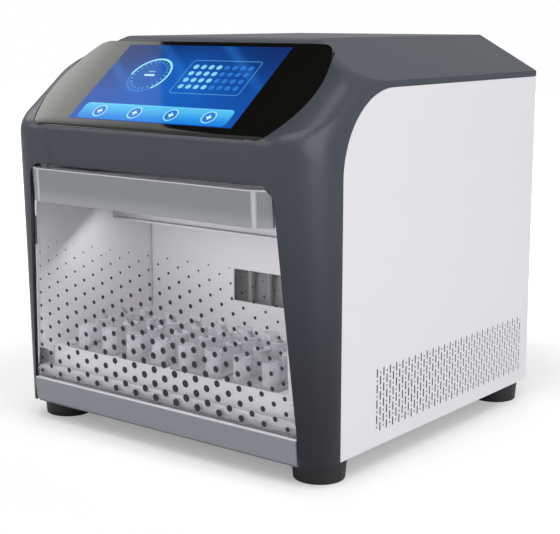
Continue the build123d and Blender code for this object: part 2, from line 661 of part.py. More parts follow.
def chamber_side_wall():
    """Right-hand wall on the base tray, with a flange on top for the rail and a jamb in front."""
    x, top = CHAMBER_HALF, WALL_TOP_Z

    def front(z):
        return face_y(z) + DOOR_SETBACK + PANE_THICK + JAMB_GAP + SHEET / 2

    step = WALL_STEP_Z + 8
    profile = Polyline((WALL_LOW_FRONT_Y, BASE_Z), (WALL_LOW_FRONT_Y, WALL_STEP_Z),
                       (front(step), step), (front(top), top), (WALL_REAR_Y, top),
                       (WALL_REAR_Y, BASE_Z), close=True)
    wall = outline_prism(profile, SIDE_PLANE, x, x + SHEET)
    wall += block(x, RAIL_X + RAIL_BRACKET_HALF + 1, CHAMBER_FRONT_Y, WALL_REAR_Y, top - SHEET, top)
    return wall + jamb()


def chamber_back_wall():
    """Back wall with its window and a lip folded forward along the top."""
    y = CHAMBER_BACK_Y
    half, top = CHAMBER_HALF - BACK_WALL_GAP, BACK_WALL_TOP_Z
    wall = block(-half, half, y, y + SHEET, BASE_Z, top)
    wall += block(-half, half, y - 4, y + SHEET, top - SHEET, top)
    return wall - block(-WINDOW_HALF, WINDOW_HALF, y - 1, y + SHEET + 1, WINDOW_LOW_Z, WINDOW_HIGH_Z)


def deck_plate():
    """Floor of the chamber, with a folded leg along its back edge."""
    half = CHAMBER_HALF - FIT_GAP
    deck = block(-half, half, DECK_FRONT_Y, CHAMBER_BACK_Y - FIT_GAP, DECK_Z - DECK_THICK, DECK_Z)
    deck += block(-half, half, CHAMBER_BACK_Y - FIT_GAP - SHEET, CHAMBER_BACK_Y - FIT_GAP,
                  BASE_Z, DECK_Z - DECK_THICK)
    return deck


def deck_apron():
    half = CHAMBER_HALF - FIT_GAP
    return block(-half, half, DECK_FRONT_Y, DECK_FRONT_Y + SHEET, BASE_Z, DECK_Z - DECK_THICK)


def heater_block():
    """Finned aluminium block under the reagent cartridges, standing on four legs."""
    half = COLUMNS * COLUMN_PITCH / 2 - 8
    y0, y1 = FRONT_ROW_Y - 4, HEAD_ROW_Y + 12
    heater = block(-half, half, y0, y1, HEATER_LOW_Z, DECK_Z - DECK_THICK)
    pitch = 2 * half / HEATER_FINS
    for i in range(HEATER_FINS):
        x = -half + (i + 0.5) * pitch
        heater -= block(x - HEATER_SLOT / 2, x + HEATER_SLOT / 2, y0 - 1, y1 + 1,
                        HEATER_LOW_Z - 1, HEATER_LOW_Z + HEATER_SLOT_H)
    for x in (-half + HEATER_POST_R, half - HEATER_POST_R):
        for y in (y0 + 8, y1 - 8):
            heater += rod_z(x, y, BASE_Z, HEATER_LOW_Z + HEATER_SLOT_H + 1, HEATER_POST_R)
    return heater


def column_x(i):
    return (i - (COLUMNS - 1) / 2) * COLUMN_PITCH


def row_y(j):
    return FRONT_ROW_Y + j * ROW_PITCH


def reagent_cartridge(n):
    """One clear cartridge: a base with two columns of round wells, each column on a web."""
    columns = [column_x(2 * n), column_x(2 * n + 1)]
    half = COLUMN_PITCH - CARTRIDGE_GAP / 2
    x = sum(columns) / 2
    y0, y1 = row_y(0) - WELL_R - 2, row_y(ROWS - 1) + WELL_R + 2
    z1 = DECK_Z + CARTRIDGE_BASE
    base = block(x - half, x + half, y0, y1, DECK_Z, z1)
    base = chamfer(base.edges().filter_by(Axis.Z), CARTRIDGE_CORNER)
    for cx in columns:
        base += block(cx - WEB_THICK / 2, cx + WEB_THICK / 2, row_y(0), row_y(ROWS - 1),
                      z1, WELL_TOP_Z - WEB_DROP)
        for j in range(ROWS):
            base += rod_z(cx, row_y(j), DECK_Z, WELL_TOP_Z, WELL_R)
        for j in range(ROWS):
            base -= rod_z(cx, row_y(j), DECK_Z + WELL_FLOOR, WELL_TOP_Z + 1, WELL_BORE_R)
    return base


def well_seals():
    """Foil caps on the middle rows of every cartridge."""
    return group(rod_z(column_x(i), row_y(j), WELL_TOP_Z, WELL_TOP_Z + SEAL_THICK, WELL_R)
                 for i in range(COLUMNS) for j in SEALED_ROWS)


def support_posts():
    """Chrome posts behind the window in the back wall."""
    return group(rod_z(i * BACK_POST_PITCH, BACK_POST_Y, BASE_Z, BACK_POST_TOP_Z, BACK_POST_R)
                 for i in (-1, 0, 1))


def post_plate():
    """Grey plate behind the posts that closes the window, on a folded foot."""
    y0, half = BACK_POST_Y + BACK_POST_R + 1, POST_PLATE_HALF
    plate = block(-half, half, y0, y0 + SHEET, BASE_Z, BACK_POST_TOP_Z)
    return plate + block(-half, half, y0, y0 + 18, BASE_Z, BASE_Z + SHEET)


# ---- Lamps ---------------------------------------------------------------------------------------
def uv_lamp():
    return rod_y(LAMP_X, LAMP_Z, LAMP_FRONT_Y, LAMP_BACK_Y, LAMP_R)


def lamp_holders():
    """Sockets on the right-hand wall at both ends of the ultraviolet tube."""
    return group(block(LAMP_X - LAMP_R - 1, CHAMBER_HALF, y0, y0 + LAMP_HOLDER, LAMP_Z - 7, LAMP_Z + 7)
                 for y0 in (LAMP_FRONT_Y - LAMP_HOLDER, LAMP_BACK_Y))


def light_strip():
    """White light bar high on the right-hand wall."""
    return block(CHAMBER_HALF - STRIP_THICK, CHAMBER_HALF, LAMP_FRONT_Y, LAMP_BACK_Y,
                 STRIP_Z, STRIP_Z + STRIP_H)


# ---- Gantry --------------------------------------------------------------------------------------
BEARING_Y0 = GANTRY_FRONT_Y + 2
BEARING_Y1 = BEARING_Y0 + BEARING_LENGTH


def rail_bracket(y0):
    """Right-hand upright block on the wall flange with a hole for the end of the rail."""
    x, half = RAIL_X, RAIL_BRACKET_HALF
    body = block(x - half, x + half, y0, y0 + RAIL_BRACKET_Y, WALL_TOP_Z, RAIL_BRACKET_TOP_Z)
    return body - rod_y(x, RAIL_Z, y0 - 1, y0 + RAIL_BRACKET_Y + 1, RAIL_R)


def door_catch():
    """Steel tongue from a front rail bracket to the back of the door magnet."""
    z = SILL_TOP_Z + MAGNET_HEIGHT
    front = face_y(z + CATCH_HALF) + DOOR_SETBACK + PANE_THICK + MAGNET_THICK + 1.3
    return block(MAGNET_X - CATCH_HALF, RAIL_X - RAIL_BRACKET_HALF, front, CHAMBER_FRONT_Y + 3.5,
                 z - CATCH_HALF, z + CATCH_HALF)


def rail_brackets():
    front = rail_bracket(CHAMBER_FRONT_Y) + door_catch()
    rear = rail_bracket(WALL_REAR_Y - RAIL_BRACKET_Y)
    return group([front, rear, mirrored(front), mirrored(rear)])


def gantry_rails():
    return group(rod_y(s * RAIL_X, RAIL_Z, CHAMBER_FRONT_Y, WALL_REAR_Y, RAIL_R) for s in (-1, 1))


def gantry_frame():
    """Side plates, back plate and two bridges, with a bearing block on each rail."""
    px, t = GANTRY_PLATE_X, GANTRY_PLATE
    low, back = GANTRY_LOW_Z, GANTRY_BACK_Y
    frame = block(-px, px, back - t, back, low, GANTRY_TOP_Z)
    for s in (-1, 1):
        x0, x1 = sorted((s * UPPER_BRIDGE_HALF, s * (px - BACK_PLATE_FRAME)))
        frame -= block(x0, x1, back - t - 1, back + 1, low + BACK_PLATE_FRAME, GANTRY_TOP_Z + 1)
    frame += block(-px, px, back - BRIDGE_DEPTH, back, low, low + BRIDGE_THICK)
    frame += block(-UPPER_BRIDGE_HALF, UPPER_BRIDGE_HALF, LIFT_Y - MOTOR_SIDE / 2, back,
                   GANTRY_TOP_Z - BRIDGE_THICK, GANTRY_TOP_Z)
    for s in (-1, 1):
        x0, x1 = sorted((s * px, s * (px + t)))
        frame += block(x0, x1, GANTRY_FRONT_Y, back, low, GANTRY_SIDE_TOP_Z)
        x0, x1 = sorted((s * (px + t), s * (RAIL_X + RAIL_BRACKET_HALF)))
        frame += block(x0, x1, BEARING_Y0, BEARING_Y1, RAIL_Z - BEARING_BELOW, RAIL_BRACKET_TOP_Z)
        frame -= rod_y(s * RAIL_X, RAIL_Z, BEARING_Y0 - 1, BEARING_Y1 + 1, RAIL_R + RUNNING_FIT)
    for x in (-LIFT_ROD_X, LIFT_ROD_X):
        frame -= rod_z(x, LIFT_Y, low - 1, low + BRIDGE_THICK + 1, LIFT_ROD_R)
        frame -= rod_z(x, LIFT_Y, GANTRY_TOP_Z - BRIDGE_THICK - 1, GANTRY_TOP_Z + 1, LIFT_ROD_R)
    frame -= rod_z(0, LIFT_Y, low - 1, low + BRIDGE_THICK + 1, LIFT_SCREW_R + RUNNING_FIT)
    frame -= rod_z(0, LIFT_Y, GANTRY_TOP_Z - BRIDGE_THICK - 1, GANTRY_TOP_Z + 1,
                   LIFT_SCREW_R + RUNNING_FIT)
    clamp_x0 = -(RAIL_X + RAIL_BRACKET_HALF)
    x0 = BELT_X - BELT_WIDTH / 2 - 1
    frame += block(x0, clamp_x0, BEARING_Y1 - CLAMP_LENGTH, BEARING_Y1, RAIL_Z + 2,
                   RAIL_BRACKET_TOP_Z)
    frame += block(x0, BELT_X + BELT_WIDTH / 2 + 1, BEARING_Y1 - CLAMP_LENGTH, BEARING_Y1,
                   RAIL_Z + 8, BELT_Z - PULLEY_R - BELT_SEAT)
    return frame


def gantry_cover():
    """Grey cover ahead of the head, with a lip folded forward under its lower edge."""
    y0 = GANTRY_FRONT_Y - SHEET
    half = GANTRY_PLATE_X + GANTRY_PLATE
    cover = block(-half, half, y0, GANTRY_FRONT_Y, GANTRY_LOW_Z, GANTRY_SIDE_TOP_Z)
    return cover + block(-COVER_HALF, COVER_HALF, y0 - COVER_LIP, GANTRY_FRONT_Y,
                         GANTRY_LOW_Z, GANTRY_LOW_Z + SHEET)


def lift_rods():
    return group(rod_z(s * LIFT_ROD_X, LIFT_Y, GANTRY_LOW_Z, GANTRY_TOP_Z, LIFT_ROD_R)
                 for s in (-1, 1))


def threaded_rod(x, y, z0, z1, radius, grooves):
    """Screw shown by evenly spaced grooves turned in its shank."""
    screw = rod_z(x, y, z0, z1, radius)
    pitch = (z1 - z0) / (grooves + 1)
    for i in range(grooves):
        z = z0 + (i + 1) * pitch
        ring = rod_z(x, y, z - 0.6, z + 0.6, radius + 1) - rod_z(x, y, z - 1, z + 1, radius - 0.6)
        screw -= ring
    return screw


def lift_screw():
    return threaded_rod(0, LIFT_Y, GANTRY_LOW_Z, GANTRY_TOP_Z, LIFT_SCREW_R, 6)


def stepper_z(x, y, z0, side, height):
    """Square stepper motor with cut corners and a stepped middle."""
    motor = block(x - side / 2, x + side / 2, y - side / 2, y + side / 2, z0, z0 + height)
    motor = chamfer(motor.edges().filter_by(Axis.Z), 2.5)
    core = block(x - side / 2 - 1, x + side / 2 + 1, y - side / 2 - 1, y + side / 2 + 1,
                 z0 + 6, z0 + height - 6)
    inner = block(x - side / 2 + 0.8, x + side / 2 - 0.8, y - side / 2 + 0.8, y + side / 2 - 0.8,
                  z0, z0 + height)
    return motor - (core - inner)


def lift_motor():
    return stepper_z(0, LIFT_Y, GANTRY_TOP_Z, MOTOR_SIDE, MOTOR_HEIGHT)


# ---- Sleeve head ---------------------------------------------------------------------------------
CARRIAGE_TOP_Z = GANTRY_TOP_Z - BRIDGE_THICK - CARRIAGE_GAP
BACK_PLATE_Y = GANTRY_BACK_Y - BRIDGE_DEPTH - 1.0
HEAD_FRONT_Y = HEAD_ROW_Y - HEAD_FRONT


def sleeve_carriage():
    """Sleeve plate with two guide posts, back plate, bearing block on the lift rods and shelf."""
    z0, z1 = SLEEVE_PLATE_Z, SLEEVE_PLATE_Z + SLEEVE_PLATE_THICK
    plate_back = BACK_PLATE_Y - CARRIAGE_PLATE
    body = block(-HEAD_HALF, HEAD_HALF, HEAD_FRONT_Y, BACK_PLATE_Y, z0, z1)
    body += block(-CARRIAGE_HALF, CARRIAGE_HALF, plate_back, BACK_PLATE_Y, z0, CARRIAGE_TOP_Z)
    body += block(-CARRIAGE_HALF, CARRIAGE_HALF, plate_back, LIFT_Y + 8,
                  CARRIAGE_TOP_Z - CARRIAGE_H, CARRIAGE_TOP_Z)
    body += block(-SHELF_HALF, SHELF_HALF, ROD_DRIVE_Y - MOTOR_SIDE / 2, plate_back,
                  SHELF_Z, SHELF_Z + SHELF_THICK)
    for i in range(COLUMNS):
        body -= rod_z(column_x(i), HEAD_ROW_Y, z0 - 1, z1 + 1, SLEEVE_R)
    for x in (-LIFT_ROD_X, LIFT_ROD_X):
        body -= rod_z(x, LIFT_Y, CARRIAGE_TOP_Z - CARRIAGE_H - 1, CARRIAGE_TOP_Z + 1,
                      LIFT_ROD_R + RUNNING_FIT)
    body -= rod_z(0, LIFT_Y, CARRIAGE_TOP_Z - CARRIAGE_H - 1, CARRIAGE_TOP_Z + 1,
                  LIFT_SCREW_R + RUNNING_FIT)
    body -= rod_z(0, ROD_DRIVE_Y, SHELF_Z - 1, SHELF_Z + SHELF_THICK + 1, ROD_SCREW_R + RUNNING_FIT)
    body -= rod_z(0, ROD_DRIVE_Y, z0 - 1, z1 + 1, ROD_SCREW_R + RUNNING_FIT)
    for s in (-1, 1):
        body += rod_z(s * POST_X, ROD_DRIVE_Y, z0, SHELF_Z, POST_R)
    return body


def sleeves():
    """Row of closed-ended plastic sleeves hanging from the sleeve plate."""
    top = SLEEVE_PLATE_Z + SLEEVE_PLATE_THICK
    tubes = []
    for i in range(COLUMNS):
        x = column_x(i)
        tube = rod_z(x, HEAD_ROW_Y, SLEEVE_TIP_Z, top, SLEEVE_R)
        tube = fillet(tube.edges().group_by(Axis.Z)[0], SLEEVE_TIP_ROUND)
        tube -= rod_z(x, HEAD_ROW_Y, SLEEVE_TIP_Z + SLEEVE_TIP_WALL, top + 1, SLEEVE_BORE_R)
        tubes.append(tube)
    return group(tubes)


def rod_motor():
    return stepper_z(0, ROD_DRIVE_Y, SHELF_Z + SHELF_THICK, MOTOR_SIDE, MOTOR_HEIGHT)


def rod_screw():
    return threaded_rod(0, ROD_DRIVE_Y, SLEEVE_PLATE_Z, SHELF_Z + SHELF_THICK, ROD_SCREW_R, 4)


def rod_plate():
    """Plate that carries the magnetic rods, sliding on the two posts."""
    z0, z1 = ROD_PLATE_Z, ROD_PLATE_Z + ROD_PLATE_THICK
    plate = block(-ROD_PLATE_HALF, ROD_PLATE_HALF, HEAD_FRONT_Y + 2, BACK_PLATE_Y - 6, z0, z1)
    for s in (-1, 1):
        plate -= rod_z(s * POST_X, ROD_DRIVE_Y, z0 - 1, z1 + 1, POST_R + RUNNING_FIT)
    plate -= rod_z(0, ROD_DRIVE_Y, z0 - 1, z1 + 1, ROD_SCREW_R + RUNNING_FIT)
    return plate


def magnetic_rods():
    low = SLEEVE_PLATE_Z + SLEEVE_PLATE_THICK - ROD_ENTRY
    return group(rod_z(column_x(i), HEAD_ROW_Y, low, ROD_PLATE_Z, ROD_R) for i in range(COLUMNS))


# ---- Belt drive ----------------------------------------------------------------------------------
def pulley(y):
    """Grooved wheel on the belt's line."""
    half = BELT_WIDTH / 2
    inner = half + PULLEY_SIDE
    wheel = rod_x(y, BELT_Z, BELT_X - inner, BELT_X + inner, PULLEY_R - BELT_THICK - BELT_SEAT)
    for s in (-1, 1):
        x0, x1 = sorted((BELT_X + s * inner, BELT_X + s * (inner + PULLEY_FLANGE)))
        wheel += rod_x(y, BELT_Z, x0, x1, PULLEY_FLANGE_R)
    return wheel


def drive_pulley():
    """Rear pulley and its shaft to the motor."""
    x1 = BELT_X + BELT_WIDTH / 2 + 8
    return pulley(DRIVE_Y) + rod_x(DRIVE_Y, BELT_Z, BELT_X, x1, SHAFT_R)


def idler_pulley():
    bore = SHAFT_R + RUNNING_FIT
    return pulley(IDLER_Y) - rod_x(IDLER_Y, BELT_Z, BELT_X - 10, BELT_X + 10, bore)


def timing_belt():
    """Closed belt round both pulleys."""
    def loop(radius):
        x0, x1 = BELT_X - BELT_WIDTH / 2, BELT_X + BELT_WIDTH / 2
        ends = rod_x(IDLER_Y, BELT_Z, x0, x1, radius) + rod_x(DRIVE_Y, BELT_Z, x0, x1, radius)
        return ends + block(x0, x1, IDLER_Y, DRIVE_Y, BELT_Z - radius, BELT_Z + radius)
    return loop(PULLEY_R) - loop(PULLEY_R - BELT_THICK)


def idler_bracket():
    """Angle on the left wall flange with the fixed pin of the front pulley."""
    x0 = BELT_X + BELT_WIDTH / 2 + 2
    body = block(x0, x0 + 2, IDLER_Y - 6, IDLER_Y + 6, WALL_TOP_Z, BELT_Z + 6)
    body += block(x0, x0 + 14, IDLER_Y - 6, IDLER_Y + 6, WALL_TOP_Z, WALL_TOP_Z + 3)
    return body + rod_x(IDLER_Y, BELT_Z, BELT_X - BELT_WIDTH / 2 - 2, x0, SHAFT_R)


def belt_motor():
    """Stepper motor lying across the machine, on an angle from the base."""
    x0 = BELT_X + BELT_WIDTH / 2 + 8
    side, length = BELT_MOTOR_SIDE, BELT_MOTOR_LENGTH
    body = block(x0, x0 + length, DRIVE_Y - side / 2, DRIVE_Y + side / 2,
                 BELT_Z - side / 2, BELT_Z + side / 2)
    return chamfer(body.edges().filter_by(Axis.X), 3.5)


def motor_bracket():
    """Tall folded bracket from the base tray to the belt motor."""
    x0 = BELT_X + BELT_WIDTH / 2 + 8
    side, length = BELT_MOTOR_SIDE, BELT_MOTOR_LENGTH
    z0, z1 = BASE_Z, BELT_Z - side / 2
    body = block(x0, x0 + length, DRIVE_Y - side / 2, DRIVE_Y + side / 2, z1 - SHEET, z1)
    body += block(x0, x0 + length, DRIVE_Y + side / 2 - SHEET, DRIVE_Y + side / 2, z0, z1)
    return body + block(x0, x0 + length, DRIVE_Y - side / 2, DRIVE_Y + side / 2, z0, z0 + SHEET)


# ---- Rear compartment ----------------------------------------------------------------------------
def power_supply():
    """Closed metal case with a row of slots in its lid."""
    x0, y0, top = PSU_X0, PSU_Y0, BASE_Z + PSU_H
    case = block(x0, x0 + PSU_W, y0, y0 + PSU_D, BASE_Z, top)
    case = chamfer(case.edges().filter_by(Axis.Y).group_by(Axis.Z)[-1], 2)
    for i in range(PSU_SLOTS):
        y = y0 + (i + 0.5) * PSU_D / PSU_SLOTS
        case -= block(x0 + 15, x0 + PSU_W - 15, y - 2, y + 2, top - 3, top + 1)
    return case


def control_board():
    """Circuit board on four pillars, with its larger parts."""
    x0, x1, y0, y1 = BOARD_X1 - BOARD_W, BOARD_X1, BOARD_Y0, BOARD_Y0 + BOARD_D
    z0, z1 = BASE_Z + BOARD_LIFT, BASE_Z + BOARD_LIFT + BOARD_THICK
    board = block(x0, x1, y0, y1, z0, z1)
    for x in (x0 + 6, x1 - 6):
        for y in (y0 + 6, y1 - 6):
            board += rod_z(x, y, BASE_Z, z0, 3)
    board += block(x0 + 50, x0 + 78, y0 + 40, y0 + 68, z1, z1 + 6)
    board += block(x0 + 20, x0 + 32, y0 + 20, y0 + 70, z1, z1 + 9)
    board += block(x1 - 36, x1 - 16, y0 + 20, y0 + 60, z1, z1 + 12)
    for i in range(3):
        board += rod_z(x0 + 24 + i * 16, y1 - 18, z1, z1 + 14, 5)
    return board


def fan_frame():
    half = FAN_SIDE / 2
    y0, y1 = REAR_IN_Y - FAN_DEPTH, REAR_IN_Y
    frame = block(FAN_X - half, FAN_X + half, y0, y1, FAN_Z - half, FAN_Z + half)
    frame = chamfer(frame.edges().filter_by(Axis.Y), 4)
    frame -= rod_y(FAN_X, FAN_Z, y0 - 1, y1 + 1, FAN_BORE_R)
    frame += rod_y(FAN_X, FAN_Z, y0, y0 + 3, FAN_HUB_R + 1)
    for angle in (45, 135):
        bar = Pos(FAN_X, y0 + 1.5, FAN_Z) * Rot(0, angle, 0) * Box(2 * FAN_BORE_R + 4, 3, 5)
        frame += bar
    return frame + rod_y(FAN_X, FAN_Z, y0, y1 - 6, SHAFT_R)


def fan_rotor():
    """Hub with pitched blades."""
    y0, y1 = REAR_IN_Y - FAN_DEPTH + 3.4, REAR_IN_Y - 2.5
    mid = (y0 + y1) / 2
    rotor = rod_y(FAN_X, FAN_Z, y0, y1, FAN_HUB_R)
    reach, root = FAN_BORE_R - 1.5, FAN_HUB_R - 2
    for i in range(FAN_BLADES):
        blade = Box(reach - root, 1.6, 18, align=(Align.MIN, Align.CENTER, Align.CENTER))
        turned = Rot(0, i * 360 / FAN_BLADES, 0) * Pos(root, 0, 0) * Rot(FAN_BLADE_DEG, 0, 0) * blade
        rotor += Pos(FAN_X, mid, FAN_Z) * turned
    limit = rod_y(FAN_X, FAN_Z, y0, y1, reach)
    rotor = rotor & limit
    return rotor - rod_y(FAN_X, FAN_Z, y0 - 1, REAR_IN_Y - 6 + 0.3, SHAFT_R + RUNNING_FIT)


def fan_guard():
    """Finger guard of wire rings on two crossed bars."""
    y0, wire = REAR_OUT_Y, GUARD_WIRE
    guard = None
    for r in GUARD_RINGS:
        ring = rod_y(FAN_X, FAN_Z, y0, y0 + wire, r) - rod_y(FAN_X, FAN_Z, y0 - 1, y0 + 3, r - wire)
        guard = ring if guard is None else guard + ring
    for angle in (45, 135):
        guard += Pos(FAN_X, y0 + wire / 2, FAN_Z) * Rot(0, angle, 0) * Box(98, wire, 2)
    return guard


def power_inlet():
    """Mains inlet and the housing of the switch above it, moulded as one module."""
    w, h = INLET_W - 0.4, INLET_H - 0.4
    x, z, out = INLET_X, INLET_Z, REAR_OUT_Y
    body = block(x - w / 2, x + w / 2, out - 20, out, z - h / 2, z + h / 2)
    rw, rh = ROCKER_W - 0.4, ROCKER_H - 0.4
    body += block(x - rw / 2, x + rw / 2, out - 14, out, ROCKER_Z - rh / 2, ROCKER_Z + rh / 2)
    rim = INLET_FLANGE
    body += block(x - w / 2 - rim, x + w / 2 + rim, out, out + 1.6,
                  z - h / 2 - rim, ROCKER_Z + rh / 2 + rim)
    body -= block(x - w / 2 + 2, x + w / 2 - 2, out - 16, out + 3, z - h / 2 + 2, z + h / 2 - 2)
    for dx, dz in ((-7, 1), (0, -3), (7, 1)):
        body += block(x + dx - 1, x + dx + 1, out - 17, out - 1, z + dz - 2, z + dz + 2)
    inner_w, inner_h = rw - 2 * ROCKER_WALL, rh - 2 * ROCKER_WALL
    body -= block(x - inner_w / 2, x + inner_w / 2, out - 11, out + 3,
                  ROCKER_Z - inner_h / 2, ROCKER_Z + inner_h / 2)
    return body + rod_x(ROCKER_PIVOT_Y, ROCKER_Z, x - rw / 2 + 1, x + rw / 2 - 1, ROCKER_PIN_R)


def power_rocker():
    """Rocker that tips about a pin across its middle, with a shallow hollow in its face."""
    w = ROCKER_W - 0.4 - 2 * ROCKER_WALL - 0.8
    h = ROCKER_H - 0.4 - 2 * ROCKER_WALL - 1.4
    x, z, out = INLET_X, ROCKER_Z, REAR_OUT_Y
    key = block(x - w / 2, x + w / 2, ROCKER_PIVOT_Y - 3, out + 3.0, z - h / 2, z + h / 2)
    key -= rod_x(out + 14, z, x - w, x + w, 12.0)
    return key - rod_x(ROCKER_PIVOT_Y, z, x - w, x + w, ROCKER_PIN_R + RUNNING_FIT)


def data_ports():
    ports = []
    for i in (-1, 0):
        px = PORT_X + (i + 0.5) * PORT_PITCH
        w, h = PORT_W - 0.4, PORT_H - 0.4
        shell = block(px - w / 2, px + w / 2, REAR_OUT_Y - 16, REAR_OUT_Y + 0.8,
                      PORT_Z - h / 2, PORT_Z + h / 2)
        shell -= block(px - w / 2 + 0.6, px + w / 2 - 0.6, REAR_OUT_Y - 12, REAR_OUT_Y + 2,
                       PORT_Z - h / 2 + 0.6, PORT_Z + h / 2 - 0.6)
        shell += block(px - w / 2 + 1.4, px + w / 2 - 1.4, REAR_OUT_Y - 13, REAR_OUT_Y - 1,
                       PORT_Z + 0.2, PORT_Z + 1.8)
        ports.append(shell)
    return group(ports)


def build():
    right_panel, right_wall = side_panel(), chamber_side_wall()
    outside = envelope(0, REAR_Y, BODY_BOTTOM_Z)
    under_glass = envelope(GLASS_THICK, REAR_Y + 20, BODY_BOTTOM_Z - 20)
    nodes = {
        "front_top_shell": front_top_shell(outside, under_glass),
        "right_side_panel": right_panel,
        "left_side_panel": mirrored(right_panel),
        "rear_panel": rear_panel(),
        "rear_panel_screws": rear_screws(),
        "base_tray": base_tray(),
        "front_sill": front_sill(),
        "feet": group(foot(x, y) for x in (-FOOT_X, FOOT_X) for y in (FOOT_FRONT_Y, FOOT_REAR_Y)),
        "display_glass": display_glass(outside, under_glass),
        "display_module": display_module(),
        "display_bracket": display_bracket(),
        "door_pane": door_pane(),
        "door_handle": door_handle(),
        "door_rail": door_rail(),
        "door_magnets": door_magnets(),
        "hinge_brackets": group([mirrored(hinge_bracket()), hinge_bracket()]),
        "chamber_right_wall": right_wall,
        "chamber_left_wall": mirrored(right_wall),
        "chamber_back_wall": chamber_back_wall(),
        "deck_plate": deck_plate(),
        "deck_apron": deck_apron(),
        "heater_block": heater_block(),
        "well_seals": well_seals(),
        "support_posts": support_posts(),
        "post_plate": post_plate(),
        "uv_lamp": uv_lamp(),
        "lamp_holders": lamp_holders(),
        "light_strip": light_strip(),
        "rail_brackets": rail_brackets(),
        "gantry_rails": gantry_rails(),
        "gantry_frame": gantry_frame(),
        "gantry_cover": gantry_cover(),
        "lift_rods": lift_rods(),
        "lift_screw": lift_screw(),
        "lift_motor": lift_motor(),
        "sleeve_carriage": sleeve_carriage(),
        "sleeves": sleeves(),
        "rod_motor": rod_motor(),
        "rod_screw": rod_screw(),
        "rod_plate": rod_plate(),
        "magnetic_rods": magnetic_rods(),
        "drive_pulley": drive_pulley(),
        "idler_pulley": idler_pulley(),
        "idler_bracket": idler_bracket(),
        "timing_belt": timing_belt(),
        "belt_motor": belt_motor(),
        "motor_bracket": motor_bracket(),
        "power_supply": power_supply(),
        "control_board": control_board(),
        "fan_frame": fan_frame(),
        "fan_rotor": fan_rotor(),
        "fan_guard": fan_guard(),
        "power_inlet": power_inlet(),
        "power_rocker": power_rocker(),
        "data_ports": data_ports(),
    }
    for n in range(CARTRIDGES):
        nodes[f"reagent_cartridge_{n + 1}"] = reagent_cartridge(n)
    return nodes


os.makedirs("parts", exist_ok=True)
for name, shape in build().items():
    export_step(shape, f"parts/{name}.step")
    print(name, round(shape.volume), len(shape.solids()))
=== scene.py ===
"""Finish, light and camera for a bench-top nucleic acid extractor. Lengths are in metres."""
import math

import bpy
import numpy as np
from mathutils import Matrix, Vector


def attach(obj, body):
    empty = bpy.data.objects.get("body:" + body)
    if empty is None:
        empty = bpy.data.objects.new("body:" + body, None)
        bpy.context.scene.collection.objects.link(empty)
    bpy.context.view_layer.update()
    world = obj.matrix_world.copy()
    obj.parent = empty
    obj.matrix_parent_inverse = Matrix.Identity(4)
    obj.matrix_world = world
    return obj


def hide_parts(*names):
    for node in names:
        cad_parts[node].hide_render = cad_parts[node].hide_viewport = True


MM = 0.001

# ---- Sizes of the machine that the finish follows --------------------------------------------------
SILL_TOP = 48 * MM
PANE_Y = -192 * MM              # front of the door pane at the sill
FACE_LEAN = 0.0574              # forward lean of the front, per unit of height
OPENING_HALF = 178 * MM
OPENING_TAPER = 0.0748
DOOR_GAP = 1.4 * MM
SCREEN_Y = -203.7 * MM          # bottom edge of the lit area
SCREEN_Z = 333.3 * MM
SCREEN_RISE = 0.766
SCREEN_HALF = 107.6 * MM
SCREEN_H = 118 * MM
HANDLE_TURN = 143 * MM          # where the ends of the grip turn back
HANDLE_LOW_Z = 246.2 * MM
HANDLE_HEIGHT = 35 * MM
HANDLE_HIGHLIGHT_BAND = 2.4 * MM          # half of the painted highlight band at each turn
HANDLE_HIGHLIGHT_SOFT = 3.0 * MM
PANEL_X = 200 * MM
COLUMNS = 8
COLUMN_PITCH = 36 * MM
SKIN = 0.08 * MM                # how far printed marks, the vents' painted shade and the lit page stand off the surface that carries them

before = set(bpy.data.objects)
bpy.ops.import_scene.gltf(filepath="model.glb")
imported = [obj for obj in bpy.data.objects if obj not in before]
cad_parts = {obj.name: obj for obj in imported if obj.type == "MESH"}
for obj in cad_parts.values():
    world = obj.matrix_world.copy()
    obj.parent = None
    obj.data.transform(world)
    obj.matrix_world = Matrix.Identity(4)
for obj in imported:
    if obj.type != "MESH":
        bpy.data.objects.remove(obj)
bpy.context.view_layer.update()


# ---- Fields: numbers that vary over a surface ------------------------------------------------------
class Field:
    """A value socket with ordinary arithmetic, each step made of one Math node."""

    def __init__(self, tree, socket):
        """Keeps the node tree and the socket that gives the value."""
        self.tree, self.socket = tree, socket

    def op(self, kind, *others):
        """One Math node of this kind, fed with the value and then with the others."""
        node = self.tree.nodes.new("ShaderNodeMath")
        node.operation = kind
        self.tree.links.new(self.socket, node.inputs[0])
        for i, other in enumerate(others, 1):
            if isinstance(other, Field):
                self.tree.links.new(other.socket, node.inputs[i])
            else:
                node.inputs[i].default_value = other
        return Field(self.tree, node.outputs[0])

    def __add__(self, other):
        return self.op("ADD", other)

    def __sub__(self, other):
        return self.op("SUBTRACT", other)

    def __mul__(self, other):
        return self.op("MULTIPLY", other)

    def __truediv__(self, other):
        return self.op("DIVIDE", other)

    def __neg__(self):
        return self.op("MULTIPLY", -1.0)

    def abs(self):
        return self.op("ABSOLUTE")

    def min(self, other):
        return self.op("MINIMUM", other)

    def max(self, other):
        return self.op("MAXIMUM", other)

    def wrap(self, low, high):
        return self.op("WRAP", high, low)

    def ramp(self, low, high):
        """0 below low, 1 above high, and smooth between."""
        node = self.tree.nodes.new("ShaderNodeMapRange")
        node.interpolation_type = "SMOOTHSTEP"
        self.tree.links.new(self.socket, node.inputs["Value"])
        node.inputs["From Min"].default_value = low
        node.inputs["From Max"].default_value = high
        return Field(self.tree, node.outputs["Result"])


def length(x, y):
    """Distance of a point from the origin of two fields."""
    return (x * x + y * y).op("SQRT")


def inside(distance, soft):
    """1 where a signed distance is negative, fading to 0 over a soft edge."""
    return (-distance).ramp(-soft / 2, soft / 2)


